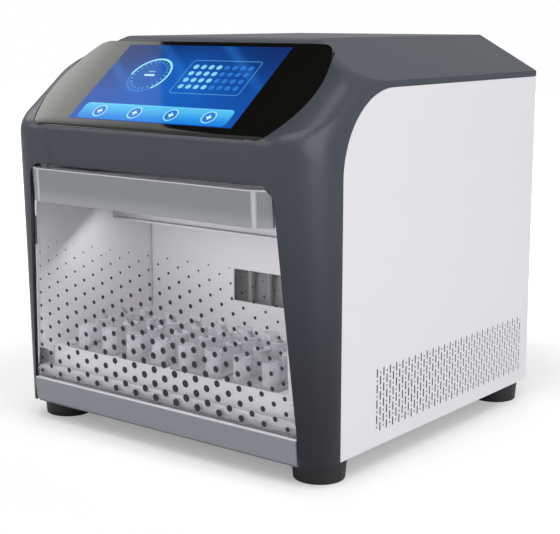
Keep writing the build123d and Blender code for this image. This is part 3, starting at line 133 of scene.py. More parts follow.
def round_box(x, y, half_x, half_y, radius):
    """Signed distance from the edge of a rectangle with round corners."""
    qx, qy = x.abs() - (half_x - radius), y.abs() - (half_y - radius)
    outer = length(qx.max(0.0), qy.max(0.0))
    return outer + qx.max(qy).min(0.0) - radius


def mix_colour(tree, factor, a, b):
    """Blends colour a to colour b; each is a socket or a tuple of three numbers."""
    node = tree.nodes.new("ShaderNodeMix")
    node.data_type = "RGBA"
    tree.links.new(factor.socket, node.inputs["Factor"])
    for value, slot in ((a, node.inputs[6]), (b, node.inputs[7])):
        if isinstance(value, tuple):
            slot.default_value = (*value, 1.0)
        else:
            tree.links.new(value, slot)
    return node.outputs[2]


# ---- Shared effects --------------------------------------------------------------------------------
def make_grain_group():
    """Fine cast or painted grain: a colour, a roughness and a height, from two sizes of noise."""
    group = bpy.data.node_groups.new("surface_grain", "ShaderNodeTree")
    face = group.interface
    for name, kind, value in (("Colour", "NodeSocketColor", (0.5, 0.5, 0.5, 1)),
                              ("Variation", "NodeSocketFloat", 0.04),
                              ("Roughness", "NodeSocketFloat", 0.4),
                              ("Roughness spread", "NodeSocketFloat", 0.08),
                              ("Grain scale", "NodeSocketFloat", 900.0),
                              ("Cloud scale", "NodeSocketFloat", 14.0)):
        socket = face.new_socket(name, in_out="INPUT", socket_type=kind)
        socket.default_value = value
    for name, kind in (("Colour", "NodeSocketColor"), ("Roughness", "NodeSocketFloat"),
                       ("Height", "NodeSocketFloat")):
        face.new_socket(name, in_out="OUTPUT", socket_type=kind)
    nodes, links = group.nodes, group.links
    start, end = nodes.new("NodeGroupInput"), nodes.new("NodeGroupOutput")
    place = nodes.new("ShaderNodeTexCoord")
    grain, cloud = nodes.new("ShaderNodeTexNoise"), nodes.new("ShaderNodeTexNoise")
    grain.inputs["Detail"].default_value = 2.0
    cloud.inputs["Detail"].default_value = 4.0
    for noise, scale in ((grain, "Grain scale"), (cloud, "Cloud scale")):
        links.new(place.outputs["Object"], noise.inputs["Vector"])
        links.new(start.outputs[scale], noise.inputs["Scale"])
    swing = Field(group, cloud.outputs["Fac"]) - 0.5
    factor = swing * Field(group, start.outputs["Variation"]) * 2.0 + 1.0
    tint = nodes.new("ShaderNodeVectorMath")
    tint.operation = "SCALE"
    links.new(start.outputs["Colour"], tint.inputs[0])
    links.new(factor.socket, tint.inputs["Scale"])
    links.new(tint.outputs[0], end.inputs["Colour"])
    rough = swing * Field(group, start.outputs["Roughness spread"]) * 2.0
    rough = rough + Field(group, start.outputs["Roughness"])
    links.new(rough.socket, end.inputs["Roughness"])
    links.new(grain.outputs["Fac"], end.inputs["Height"])
    return group


def make_brush_group():
    """Brushed metal: noise drawn out along the width of the machine."""
    group = bpy.data.node_groups.new("brushed_lines", "ShaderNodeTree")
    face = group.interface
    for name, kind, value in (("Colour", "NodeSocketColor", (0.5, 0.5, 0.5, 1)),
                              ("Variation", "NodeSocketFloat", 0.06),
                              ("Roughness", "NodeSocketFloat", 0.3),
                              ("Across", "NodeSocketVector", (4.0, 900.0, 900.0))):
        socket = face.new_socket(name, in_out="INPUT", socket_type=kind)
        socket.default_value = value
    for name, kind in (("Colour", "NodeSocketColor"), ("Roughness", "NodeSocketFloat"),
                       ("Height", "NodeSocketFloat")):
        face.new_socket(name, in_out="OUTPUT", socket_type=kind)
    nodes, links = group.nodes, group.links
    start, end = nodes.new("NodeGroupInput"), nodes.new("NodeGroupOutput")
    place = nodes.new("ShaderNodeTexCoord")
    stretch = nodes.new("ShaderNodeVectorMath")
    stretch.operation = "MULTIPLY"
    links.new(place.outputs["Object"], stretch.inputs[0])
    links.new(start.outputs["Across"], stretch.inputs[1])
    lines = nodes.new("ShaderNodeTexNoise")
    lines.inputs["Scale"].default_value = 1.0
    lines.inputs["Detail"].default_value = 3.0
    links.new(stretch.outputs[0], lines.inputs["Vector"])
    swing = Field(group, lines.outputs["Fac"]) - 0.5
    factor = swing * Field(group, start.outputs["Variation"]) * 2.0 + 1.0
    tint = nodes.new("ShaderNodeVectorMath")
    tint.operation = "SCALE"
    links.new(start.outputs["Colour"], tint.inputs[0])
    links.new(factor.socket, tint.inputs["Scale"])
    links.new(tint.outputs[0], end.inputs["Colour"])
    rough = swing * 0.2 + Field(group, start.outputs["Roughness"])
    links.new(rough.socket, end.inputs["Roughness"])
    links.new(lines.outputs["Fac"], end.inputs["Height"])
    return group


GRAIN = make_grain_group()
BRUSH = make_brush_group()


# ---- Materials -------------------------------------------------------------------------------------
def blank(name):
    """An empty node material with one Principled shader."""
    material = bpy.data.materials.new(name)
    material.use_nodes = True
    shader = material.node_tree.nodes["Principled BSDF"]
    return material, material.node_tree, shader


def finish_with(tree, shader, group, values, bump, distance):
    """Feeds colour, roughness and bump of a shader from one of the shared effects."""
    effect = tree.nodes.new("ShaderNodeGroup")
    effect.node_tree = group
    for name, value in values.items():
        effect.inputs[name].default_value = value
    tree.links.new(effect.outputs["Colour"], shader.inputs["Base Color"])
    tree.links.new(effect.outputs["Roughness"], shader.inputs["Roughness"])
    if bump:
        relief = tree.nodes.new("ShaderNodeBump")
        relief.inputs["Strength"].default_value = bump
        relief.inputs["Distance"].default_value = distance
        tree.links.new(effect.outputs["Height"], relief.inputs["Height"])
        tree.links.new(relief.outputs["Normal"], shader.inputs["Normal"])
    return effect


def grained(name, colour, roughness, variation=0.03, spread=0.05, scale=900.0, bump=0.1,
            distance=0.0002, metallic=0.0, coat=0.0, coat_roughness=0.1, specular=0.5):
    """Painted or moulded surface with a fine grain."""
    material, tree, shader = blank(name)
    values = {"Colour": (*colour, 1.0), "Variation": variation, "Roughness": roughness,
              "Roughness spread": spread, "Grain scale": scale}
    finish_with(tree, shader, GRAIN, values, bump, distance)
    shader.inputs["Metallic"].default_value = metallic
    shader.inputs["Coat Weight"].default_value = coat
    shader.inputs["Coat Roughness"].default_value = coat_roughness
    shader.inputs["Specular IOR Level"].default_value = specular
    return material


def brushed(name, colour, roughness, across=(4.0, 900.0, 900.0), variation=0.06, bump=0.06):
    """Brushed or drawn metal."""
    material, tree, shader = blank(name)
    values = {"Colour": (*colour, 1.0), "Variation": variation, "Roughness": roughness,
              "Across": across}
    finish_with(tree, shader, BRUSH, values, bump, 0.0001)
    shader.inputs["Metallic"].default_value = 1.0
    return material


def clear(name, colour, roughness, ior, shadow, weight=1.0):
    """Clear plastic that lets part of the lamps' light straight through."""
    material, tree, shader = blank(name)
    values = {"Colour": (*colour, 1.0), "Variation": 0.01, "Roughness": roughness,
              "Roughness spread": 0.01}
    finish_with(tree, shader, GRAIN, values, 0.0, 0.0)
    shader.inputs["Transmission Weight"].default_value = weight
    shader.inputs["IOR"].default_value = ior
    path = tree.nodes.new("ShaderNodeLightPath")
    solid = Field(tree, path.outputs["Is Shadow Ray"]) * (-shadow) + 1.0
    tree.links.new(solid.socket, shader.inputs["Alpha"])
    return material


def glowing(name, colour, strength, base=(0.8, 0.8, 0.8)):
    """A diffuser that gives its own light."""
    material, tree, shader = blank(name)
    values = {"Colour": (*base, 1.0), "Variation": 0.02, "Roughness": 0.5}
    finish_with(tree, shader, GRAIN, values, 0.0, 0.0)
    shader.inputs["Emission Color"].default_value = (*colour, 1.0)
    shader.inputs["Emission Strength"].default_value = strength
    return material


def object_axis(tree, axis):
    """One of the machine's own coordinates."""
    place = tree.nodes.new("ShaderNodeTexCoord")
    split = tree.nodes.new("ShaderNodeSeparateXYZ")
    tree.links.new(place.outputs["Object"], split.inputs[0])
    return Field(tree, split.outputs[axis])


def multiply(tree, a, b):
    """Product of two colour sockets."""
    node = tree.nodes.new("ShaderNodeMix")
    node.data_type = "RGBA"
    node.blend_type = "MULTIPLY"
    node.inputs["Factor"].default_value = 1.0
    tree.links.new(a, node.inputs[6])
    tree.links.new(b, node.inputs[7])
    return node.outputs[2]


def painted_light_by_height(name, low_z, high_z, low_colour, high_colour, **rest):
    """Painted surface whose colour deepens towards the foot of the machine, below a given height:
    painted shade on the shell, and on the sill a painted highlight along its top edge above the
    darker body.
    """
    material = grained(name, high_colour, **rest)
    tree = material.node_tree
    shader = tree.nodes["Principled BSDF"]
    paint = shader.inputs["Base Color"].links[0].from_socket
    height = object_axis(tree, "Z")
    # painted light: the colour is multiplied by low_colour below low_z and kept as it is above high_z
    tint = mix_colour(tree, height.ramp(low_z, high_z), low_colour, (1.0, 1.0, 1.0))
    tree.links.new(multiply(tree, paint, tint), shader.inputs["Base Color"])
    return material


def handle_material():
    """Satin metal with painted highlights: lighter along the top edge, at the foot and where the ends
    turn back.
    """
    material = grained("handle_grey", (0.275, 0.288, 0.315), 0.26, 0.02, 0.03, 1600, 0.02,
                       metallic=0.6, coat=0.3, coat_roughness=0.1)
    tree = material.node_tree
    shader = tree.nodes["Principled BSDF"]
    satin = shader.inputs["Base Color"].links[0].from_socket
    across, height = object_axis(tree, "X").abs(), object_axis(tree, "Z")
    # painted highlights and sheen: a band where each end turns back, a line along the top edge and a
    # paler foot, all mixed towards one pale grey
    turn = inside((across - HANDLE_TURN).abs() - HANDLE_HIGHLIGHT_BAND, HANDLE_HIGHLIGHT_SOFT) * 0.75
    rise = (height - HANDLE_LOW_Z) / HANDLE_HEIGHT
    rim = rise.ramp(0.93, 0.97)
    foot = (-rise).ramp(-0.45, 0.0) * 0.22
    light = turn.max(rim).max(foot)
    tree.links.new(mix_colour(tree, light, satin, (0.72, 0.73, 0.78)), shader.inputs["Base Color"])
    return material


# painted shade: the dark shell grows darker towards its foot, in place of light falling off lower
# down
SHELL_GREY = painted_light_by_height("shell_grey", 0.02, 0.36, (0.16, 0.16, 0.22), (0.049, 0.058, 0.076),
                    roughness=0.34, variation=0.02, spread=0.03, scale=1400, bump=0.08,
                    coat=0.12, coat_roughness=0.2, specular=0.35)
PANEL_WHITE = grained("panel_white", (0.765, 0.757, 0.790), 0.42, 0.012, 0.04, 1100, 0.16)
REAR_GREY = grained("rear_grey", (0.16, 0.17, 0.19), 0.45, 0.03, 0.05, 1100, 0.2)
ZINC = grained("zinc_sheet", (0.42, 0.43, 0.45), 0.42, 0.10, 0.1, 260, 0.08, metallic=0.9)
FASCIA = grained("fascia_grey", (0.20, 0.20, 0.212), 0.38, 0.03, 0.05, 900, 0.08, metallic=0.3)
# painted highlight: a pale line along the top edge of the sill, over its darker grey body
SILL_METAL = painted_light_by_height("sill_metal", SILL_TOP - 0.9 * MM, SILL_TOP - 0.5 * MM, (0.34, 0.355, 0.385),
                    (0.80, 0.81, 0.84), roughness=0.40, variation=0.03, spread=0.04,
                    scale=1100, bump=0.06, metallic=0.35)
HANDLE_GREY = handle_material()
RUBBER = grained("rubber_black", (0.009, 0.010, 0.013), 0.5, 0.12, 0.08, 700, 0.2)
COVER_GLASS = grained("cover_glass", (0.006, 0.006, 0.005), 0.05, 0.02, 0.01, 400, 0.0,
                      coat=0.3, coat_roughness=0.02)
CHAMBER = grained("chamber_white", (0.645, 0.625, 0.65), 0.45, 0.015, 0.05, 900, 0.08,
                  specular=0.3)
RAIL_WHITE = grained("rail_white", (0.56, 0.55, 0.575), 0.6, 0.015, 0.05, 900, 0.05,
                     specular=0.2)
FOIL = grained("foil", (0.46, 0.46, 0.50), 0.5, 0.06, 0.1, 240, 0.15, metallic=0.3)
CHROME = brushed("ground_chrome", (0.62, 0.62, 0.64), 0.12, (300.0, 300.0, 6.0), 0.03, 0.02)
RAIL_CHROME = brushed("rail_chrome", (0.62, 0.62, 0.64), 0.12, (300.0, 6.0, 300.0), 0.03, 0.02)
STEEL = brushed("zinc_steel", (0.45, 0.45, 0.46), 0.30, (60.0, 60.0, 60.0), 0.08, 0.05)
ALUMINIUM = brushed("anodised", (0.58, 0.59, 0.61), 0.36, (5.0, 700.0, 700.0), 0.05, 0.05)
BLACK = grained("black_moulding", (0.022, 0.022, 0.024), 0.42, 0.06, 0.06, 900, 0.15)
BOARD_GREEN = grained("board_green", (0.02, 0.14, 0.06), 0.35, 0.15, 0.1, 300, 0.05)
BELT = grained("belt_rubber", (0.02, 0.02, 0.02), 0.7, 0.1, 0.05, 900, 0.2)
PANE = clear("clear_pane", (0.975, 0.978, 0.985), 0.0, 1.30, 0.92)
TUBE = clear("clear_tube", (0.86, 0.86, 0.90), 0.22, 1.30, 0.7, 0.72)
LAMP_GLASS = clear("lamp_glass", (0.92, 0.94, 1.0), 0.02, 1.3, 0.8)
LAMP_WHITE = glowing("lamp_white", (1.0, 0.98, 0.96), 0.8)
SCREEN_BACK = glowing("screen_back", (0.02, 0.10, 0.40), 0.5, (0.01, 0.03, 0.1))

NODE_FINISH = {
    SHELL_GREY: ("front_top_shell",),
    PANEL_WHITE: ("left_side_panel", "right_side_panel"),
    REAR_GREY: ("rear_panel", "base_tray"),
    ZINC: ("display_bracket", "idler_bracket", "motor_bracket", "power_supply"),
    SILL_METAL: ("front_sill",),
    RAIL_WHITE: ("door_rail",),
    HANDLE_GREY: ("door_handle",),
    RUBBER: ("feet",),
    COVER_GLASS: ("display_glass",),
    SCREEN_BACK: ("display_module",),
    PANE: ("door_pane",),
    CHAMBER: ("chamber_left_wall", "chamber_right_wall", "chamber_back_wall", "deck_plate",
              "deck_apron", "hinge_brackets"),
    FASCIA: ("gantry_cover", "post_plate", "support_posts"),
    TUBE: ("sleeves", *(f"reagent_cartridge_{n + 1}" for n in range(COLUMNS // 2))),
    FOIL: ("well_seals",),
    CHROME: ("lift_rods", "magnetic_rods"),
    RAIL_CHROME: ("gantry_rails", "door_magnets"),
    STEEL: ("rear_panel_screws", "fan_guard", "data_ports", "lift_screw", "rod_screw"),
    ALUMINIUM: ("heater_block", "rail_brackets", "gantry_frame", "sleeve_carriage", "rod_plate",
                "drive_pulley", "idler_pulley"),
    BLACK: ("lamp_holders", "belt_motor", "fan_frame", "fan_rotor", "power_inlet", "lift_motor",
            "rod_motor", "power_rocker"),
    BOARD_GREEN: ("control_board",),
    BELT: ("timing_belt",),
    LAMP_GLASS: ("uv_lamp",),
    LAMP_WHITE: ("light_strip",),
}


def paint_nodes():
    """Gives every CAD node its finish."""
    for material, names in NODE_FINISH.items():
        for name in names:
            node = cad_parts[name]
            for slot in node.material_slots:
                slot.material = material
            if not node.material_slots:
                node.data.materials.append(material)


# ---- Mesh tools ------------------------------------------------------------------------------------
def mesh_piece(name, points, faces, material, body, smooth=False):
    """A new piece made of whole arrays of points and faces, riding on a body."""
    mesh = bpy.data.meshes.new(name)
    mesh.from_pydata(np.asarray(points).reshape(-1, 3).tolist(), [],
                     [list(f) for f in faces])
    mesh.update()
    mesh.polygons.foreach_set("use_smooth", np.full(len(mesh.polygons), smooth))
    piece = bpy.data.objects.new(name, mesh)
    bpy.context.scene.collection.objects.link(piece)
    mesh.materials.append(material)
    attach(piece, body)
    return piece


def flat_patches(name, outlines, material, body):
    """Many flat polygons with the same number of corners, given as one array of points."""
    count, corners = outlines.shape[:2]
    faces = np.arange(count * corners).reshape(count, corners)
    return mesh_piece(name, outlines, faces, material, body)


# ---- Door ------------------------------------------------------------------------------------------
DOT_COLUMN = 27.95 * MM         # between columns of dots at the sill
DOT_SHIFT = -1.7 * MM
DOT_ROW = 7.35 * MM             # between staggered rows
DOT_FIRST = 7.6 * MM            # first row above the sill
DOT_ROWS = 21
DOT_LARGEST = 4.1 * MM          # radius in the middle of the lowest rows
DOT_SMALLEST = 0.5 * MM
DOT_MIDDLE = 0.2                # where the largest dots stand, as a share of the half-width
DOT_SIDE_LOSS = 0.42            # how much smaller the dots are at the sides
DOT_TOP_LOSS = 0.75             # and in the highest row
DOT_SIDE_POWER = 1.3
DOT_TOP_POWER = 1.6
DOT_EACH_SIDE = 7               # columns left and right of the middle one
DOT_EDGE_GAP = 0.6 * MM         # least distance from the edge of the pane
DOT_CORNERS = 20


def door_point(x, up, out):
    """Places points given across, up and out of the pane in the machine."""
    lean = math.atan(FACE_LEAN)
    y = PANE_Y - up * math.sin(lean) - out * math.cos(lean)
    z = SILL_TOP + up * math.cos(lean) - out * math.sin(lean)
    return np.stack(np.broadcast_arrays(x, y, z), axis=-1)


def door_dots():
    """Staggered rows of printed dots that shrink upwards and towards the sides.

    Each dot is a regular polygon round its centre. Its radius is the largest one, less a share
    that grows as the 1.3rd power of the distance from the middle, less another that grows as the
    1.6th power of the height.
    """
    centres = []
    for row in range(DOT_ROWS):
        up = DOT_FIRST + row * DOT_ROW
        half = OPENING_HALF - OPENING_TAPER * up - DOOR_GAP
        narrow = half / (OPENING_HALF - DOOR_GAP)
        for column in np.arange(-DOT_EACH_SIDE, DOT_EACH_SIDE + 1) + (0.5 if row % 2 else 0.0):
            x = column * DOT_COLUMN * narrow + DOT_SHIFT
            across = x / half - DOT_MIDDLE
            across = abs(across) / (1 - DOT_MIDDLE if across > 0 else 1 + DOT_MIDDLE)
            rise = row / (DOT_ROWS - 1)
            radius = DOT_LARGEST * (1 - DOT_SIDE_LOSS * across ** DOT_SIDE_POWER)
            radius *= 1 - DOT_TOP_LOSS * rise ** DOT_TOP_POWER
            if radius > DOT_SMALLEST and abs(x) + radius < half - DOT_EDGE_GAP:
                centres.append((x, up, radius))
    centres = np.array(centres)
    turn = np.linspace(0, 2 * np.pi, DOT_CORNERS, endpoint=False)
    x = centres[:, :1] + centres[:, 2:] * np.cos(turn)
    up = centres[:, 1:2] + centres[:, 2:] * np.sin(turn)
    ink = grained("dot_ink", (0.036, 0.036, 0.044), 0.6, 0.05, 0.05, 600, 0.0, specular=0.2)
    return flat_patches("door_dots", door_point(x, up, SKIN), ink, "door")


# ---- Work chamber ----------------------------------------------------------------------------------
POCKET_X = (165.2 * MM, 192 * MM)
POCKET_Y = (-172.8 * MM, -172 * MM)
POCKET_Z = (23.2 * MM, 78 * MM)
TAB_ROWS_Y = (-135 * MM, -104 * MM)
TAB_LOW_Z = 110.2 * MM          # top of the foil
TAB_LENGTH = 9.5 * MM
TAB_HALF_W = 3.6 * MM
TAB_THICK = 0.5 * MM
TAB_LEAN = math.radians(38)
BOX_FACES = np.array([[0, 2, 3, 1], [4, 5, 7, 6], [0, 1, 5, 4], [2, 6, 7, 3], [0, 4, 6, 2],
                      [1, 3, 7, 5]])


def box_corners(x, y, z):
    """The eight corners of a box given its low and high value along each axis."""
    return np.stack(np.meshgrid(x, y, z, indexing="ij"), -1).reshape(8, 3)


def many_boxes(name, corners, material, body):
    """Boxes given as one array of eight corners each."""
    count = len(corners)
    faces = (BOX_FACES[None] + 8 * np.arange(count)[:, None, None]).reshape(-1, 4)
    return mesh_piece(name, corners, faces[:, ::-1], material, body)


def hinge_pockets():
    """White plates that close the pockets behind the door's hinges."""
    right = box_corners(POCKET_X, POCKET_Y, POCKET_Z)
    left = box_corners([-POCKET_X[1], -POCKET_X[0]], POCKET_Y, POCKET_Z)
    many_boxes("hinge_pockets", np.stack([left, right]), CHAMBER, "chassis")


def pull_tabs():
    """Frosted tabs that stand up from the foil, each a thin plate leaning to the front."""
    across = (np.arange(COLUMNS) - (COLUMNS - 1) / 2) * COLUMN_PITCH
    plate = box_corners([-TAB_HALF_W, TAB_HALF_W], [0, TAB_THICK], [0, TAB_LENGTH])
    lean_y = plate[:, 1] * math.cos(TAB_LEAN) - plate[:, 2] * math.sin(TAB_LEAN)
    lean_z = plate[:, 2] * math.cos(TAB_LEAN) + plate[:, 1] * math.sin(TAB_LEAN)
    plate = np.stack([plate[:, 0], lean_y, lean_z], -1)
    spots = [(x, y, TAB_LOW_Z) for x in across for y in TAB_ROWS_Y]
    frost = clear("frosted_tab", (0.50, 0.50, 0.54), 0.35, 1.3, 0.4, 0.35)
    many_boxes("pull_tabs", plate[None] + np.array(spots)[:, None], frost, "chassis")


# ---- Side vents ------------------------------------------------------------------------------------
VENT_FRONT_Y = -95 * MM
VENT_LOW_Z = 40 * MM            # middle of the lowest row
VENT_COLUMNS = 52
VENT_PITCH = 5.74 * MM
VENT_ROWS = 8
VENT_ROW = 7.75 * MM
VENT_SLOT_L = 9.0 * MM
VENT_WIDTH = 2.0 * MM
VENT_HOLE_L = 2.2 * MM
VENT_PALE_Y = (-40 * MM, 230 * MM)  # where painted light turns the openings pale


def capsule(cy, cz, half_l, half_w, corners=8):
    """Outlines of upright slots with round ends, round many centres at once."""
    turn = np.linspace(0, 2 * np.pi, corners, endpoint=False) + np.pi / corners
    y = cy[:, None] + half_w * np.cos(turn)
    z = cz[:, None] + half_w * np.sin(turn) + np.sign(np.sin(turn)) * (half_l - half_w)
    return y, z


def side_vents(side, name):
    """Long slots and small holes in turn, like the two colours of a chess board, drawn as flat dark
    patches of painted shade on the panel.

    The middles stand on an even grid, and each outline is a slot with round ends.
    """
    column, row = np.meshgrid(np.arange(VENT_COLUMNS), np.arange(VENT_ROWS))
    cy = (VENT_FRONT_Y + column * VENT_PITCH).ravel()
    cz = (VENT_LOW_Z + row * VENT_ROW).ravel()
    long = ((column + row) % 2 == 1).ravel()
    shapes = []
    for keep, slot_l in ((long, VENT_SLOT_L), (~long, VENT_HOLE_L)):
        y, z = capsule(cy[keep], cz[keep], slot_l / 2, VENT_WIDTH / 2)
        x = np.full_like(y, side * (PANEL_X + SKIN))
        shapes.append(np.stack([x, y, z], axis=-1))
    outlines = np.concatenate(shapes)
    if side < 0:
        outlines = outlines[:, ::-1]
    return flat_patches(name, outlines, VENT_DARK, "chassis")


def vent_material():
    """Dark openings of painted shade, with painted light making them paler towards the back, where
    light falls in.
    """
    material = grained("vent_dark", (0.022, 0.022, 0.027), 0.7, 0.05, 0.05, 500, 0.0,
                       specular=0.1)
    tree = material.node_tree
    shader = tree.nodes["Principled BSDF"]
    dark = shader.inputs["Base Color"].links[0].from_socket
    # painted light: the dark openings are mixed towards a pale grey towards the back
    back = object_axis(tree, "Y").ramp(*VENT_PALE_Y)
    tree.links.new(mix_colour(tree, back, dark, (0.24, 0.23, 0.26)), shader.inputs["Base Color"])
    return material


VENT_DARK = vent_material()


# ---- Screen ----------------------------------------------------------------------------------------
def screen_point(x, up, out):
    """Places points given across, up and out of the screen in the machine."""
    slope = math.atan(SCREEN_RISE)
    y = SCREEN_Y + up * math.cos(slope) - out * math.sin(slope)
    z = SCREEN_Z + up * math.sin(slope) + out * math.cos(slope)
    return np.stack(np.broadcast_arrays(x, y, z), axis=-1)


GLASS_THICK = 2.0 * MM
GLASS_RINGS = (0.10, 0.45, 0.70, 0.82, 0.90, 0.95, 0.98, 1.0)
GLASS_OUTLINE_STEPS = 288
GLASS_DIRECTIONS = 720
GLASS_SAME_POINT = 0.02 * MM    # outline points nearer than this count as one
GLASS_FLAT_HALF = 126 * MM      # the glass bends down beyond this
GLASS_BEND_REACH = 46 * MM
GLASS_BEND_DROP = 1.5 * MM
GLASS_FOOT = -5.3 * MM          # and below this, where it meets the brow
GLASS_FOOT_REACH = 6.2 * MM
GLASS_FOOT_DROP = 1.7 * MM


def glass_outline():
    """Outline of the cover glass seen square on, as evenly spaced points.

    The farthest point of the part in each direction gives the convex outline.
    """
    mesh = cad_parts["display_glass"].data
    flat = np.empty(3 * len(mesh.vertices))
    mesh.vertices.foreach_get("co", flat)
    flat = flat.reshape(-1, 3)
    slope = math.atan(SCREEN_RISE)
    up = (flat[:, 1] - SCREEN_Y) * math.cos(slope) + (flat[:, 2] - SCREEN_Z) * math.sin(slope)
    turn = np.linspace(0, 2 * np.pi, GLASS_DIRECTIONS, endpoint=False)
    reach = np.outer(np.cos(turn), flat[:, 0]) + np.outer(np.sin(turn), up)
    far = np.argmax(reach, axis=1)
    corner = np.stack([flat[far, 0], up[far]], -1)
    step = np.linalg.norm(corner - np.roll(corner, 1, axis=0), axis=1)
    corner = corner[step > GLASS_SAME_POINT]
    closed = np.vstack([corner, corner[:1]])
    walk = np.concatenate([[0], np.cumsum(np.linalg.norm(np.diff(closed, axis=0), axis=1))])
    even = np.linspace(0, walk[-1], GLASS_OUTLINE_STEPS, endpoint=False)
    return np.stack([np.interp(even, walk, closed[:, 0]), np.interp(even, walk, closed[:, 1])], -1)


def smooth_glass():
    """Cover glass as one smooth sheet: rings shrunk from its outline, and its rim and back.

    The sheet is flat in the middle. It drops as the square of the distance past the flat part, to
    each side and below.
    """
    outline = glass_outline()
    middle = outline.mean(axis=0)
    rings = middle + (outline - middle) * np.array(GLASS_RINGS)[:, None, None]
    side = np.clip(np.abs(rings[..., 0]) - GLASS_FLAT_HALF, 0, None) / GLASS_BEND_REACH
    foot = np.clip(GLASS_FOOT - rings[..., 1], 0, None) / GLASS_FOOT_REACH
    out = -GLASS_BEND_DROP * side ** 2 - GLASS_FOOT_DROP * foot ** 2
    top = screen_point(rings[..., 0], rings[..., 1], out)
    back = screen_point(outline[:, 0], outline[:, 1], out[-1] - GLASS_THICK)
    points = np.concatenate([top.reshape(-1, 3), top[-1], back])
    count, steps = len(GLASS_RINGS), GLASS_OUTLINE_STEPS
    index = np.arange((count + 2) * steps).reshape(count + 2, steps)
    after = np.roll(index, -1, axis=1)
    quads = np.stack([index[:-1], index[1:], after[1:], after[:-1]], -1)
    quads = np.delete(quads, count - 1, axis=0).reshape(-1, 4)
    faces = [*quads.tolist(), index[0].tolist(), index[-1][::-1].tolist()]
    piece = mesh_piece("cover_glass", points, faces, COVER_GLASS, "chassis", True)
    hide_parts("display_glass")


# The page, in decimetres across from its middle and up from its bottom edge.
DIAL_LEFT, DIAL_UP = 0.46, 0.70
DIAL_RADIUS = 0.25
DIAL_TICKS = 24
TICK_RADIUS = 0.205
MAP_RIGHT, MAP_UP = 0.42, 0.70
MAP_HALF = (0.44, 0.25)
WELLS_HALF = (0.40, 0.20)
WELL_HALF_PITCH = 0.05
WELL_RADIUS = 0.032
KEY_UP = 0.13
KEY_HALF_PITCH = 0.24
KEY_RADIUS = 0.078
KEYS_REACH = 0.96
BAR_HALF = (0.98, 0.115)
CROSS_LONG, CROSS_SHORT = 0.032, 0.010
PAGE_MIDDLE_UP = 0.59
PAGE_HALF = (1.076, 0.59)
SOFT, CRISP = 0.01, 0.008       # widths over which an edge fades
PAGE_COLUMNS, PAGE_ROWS = 17, 9  # points of the sheet


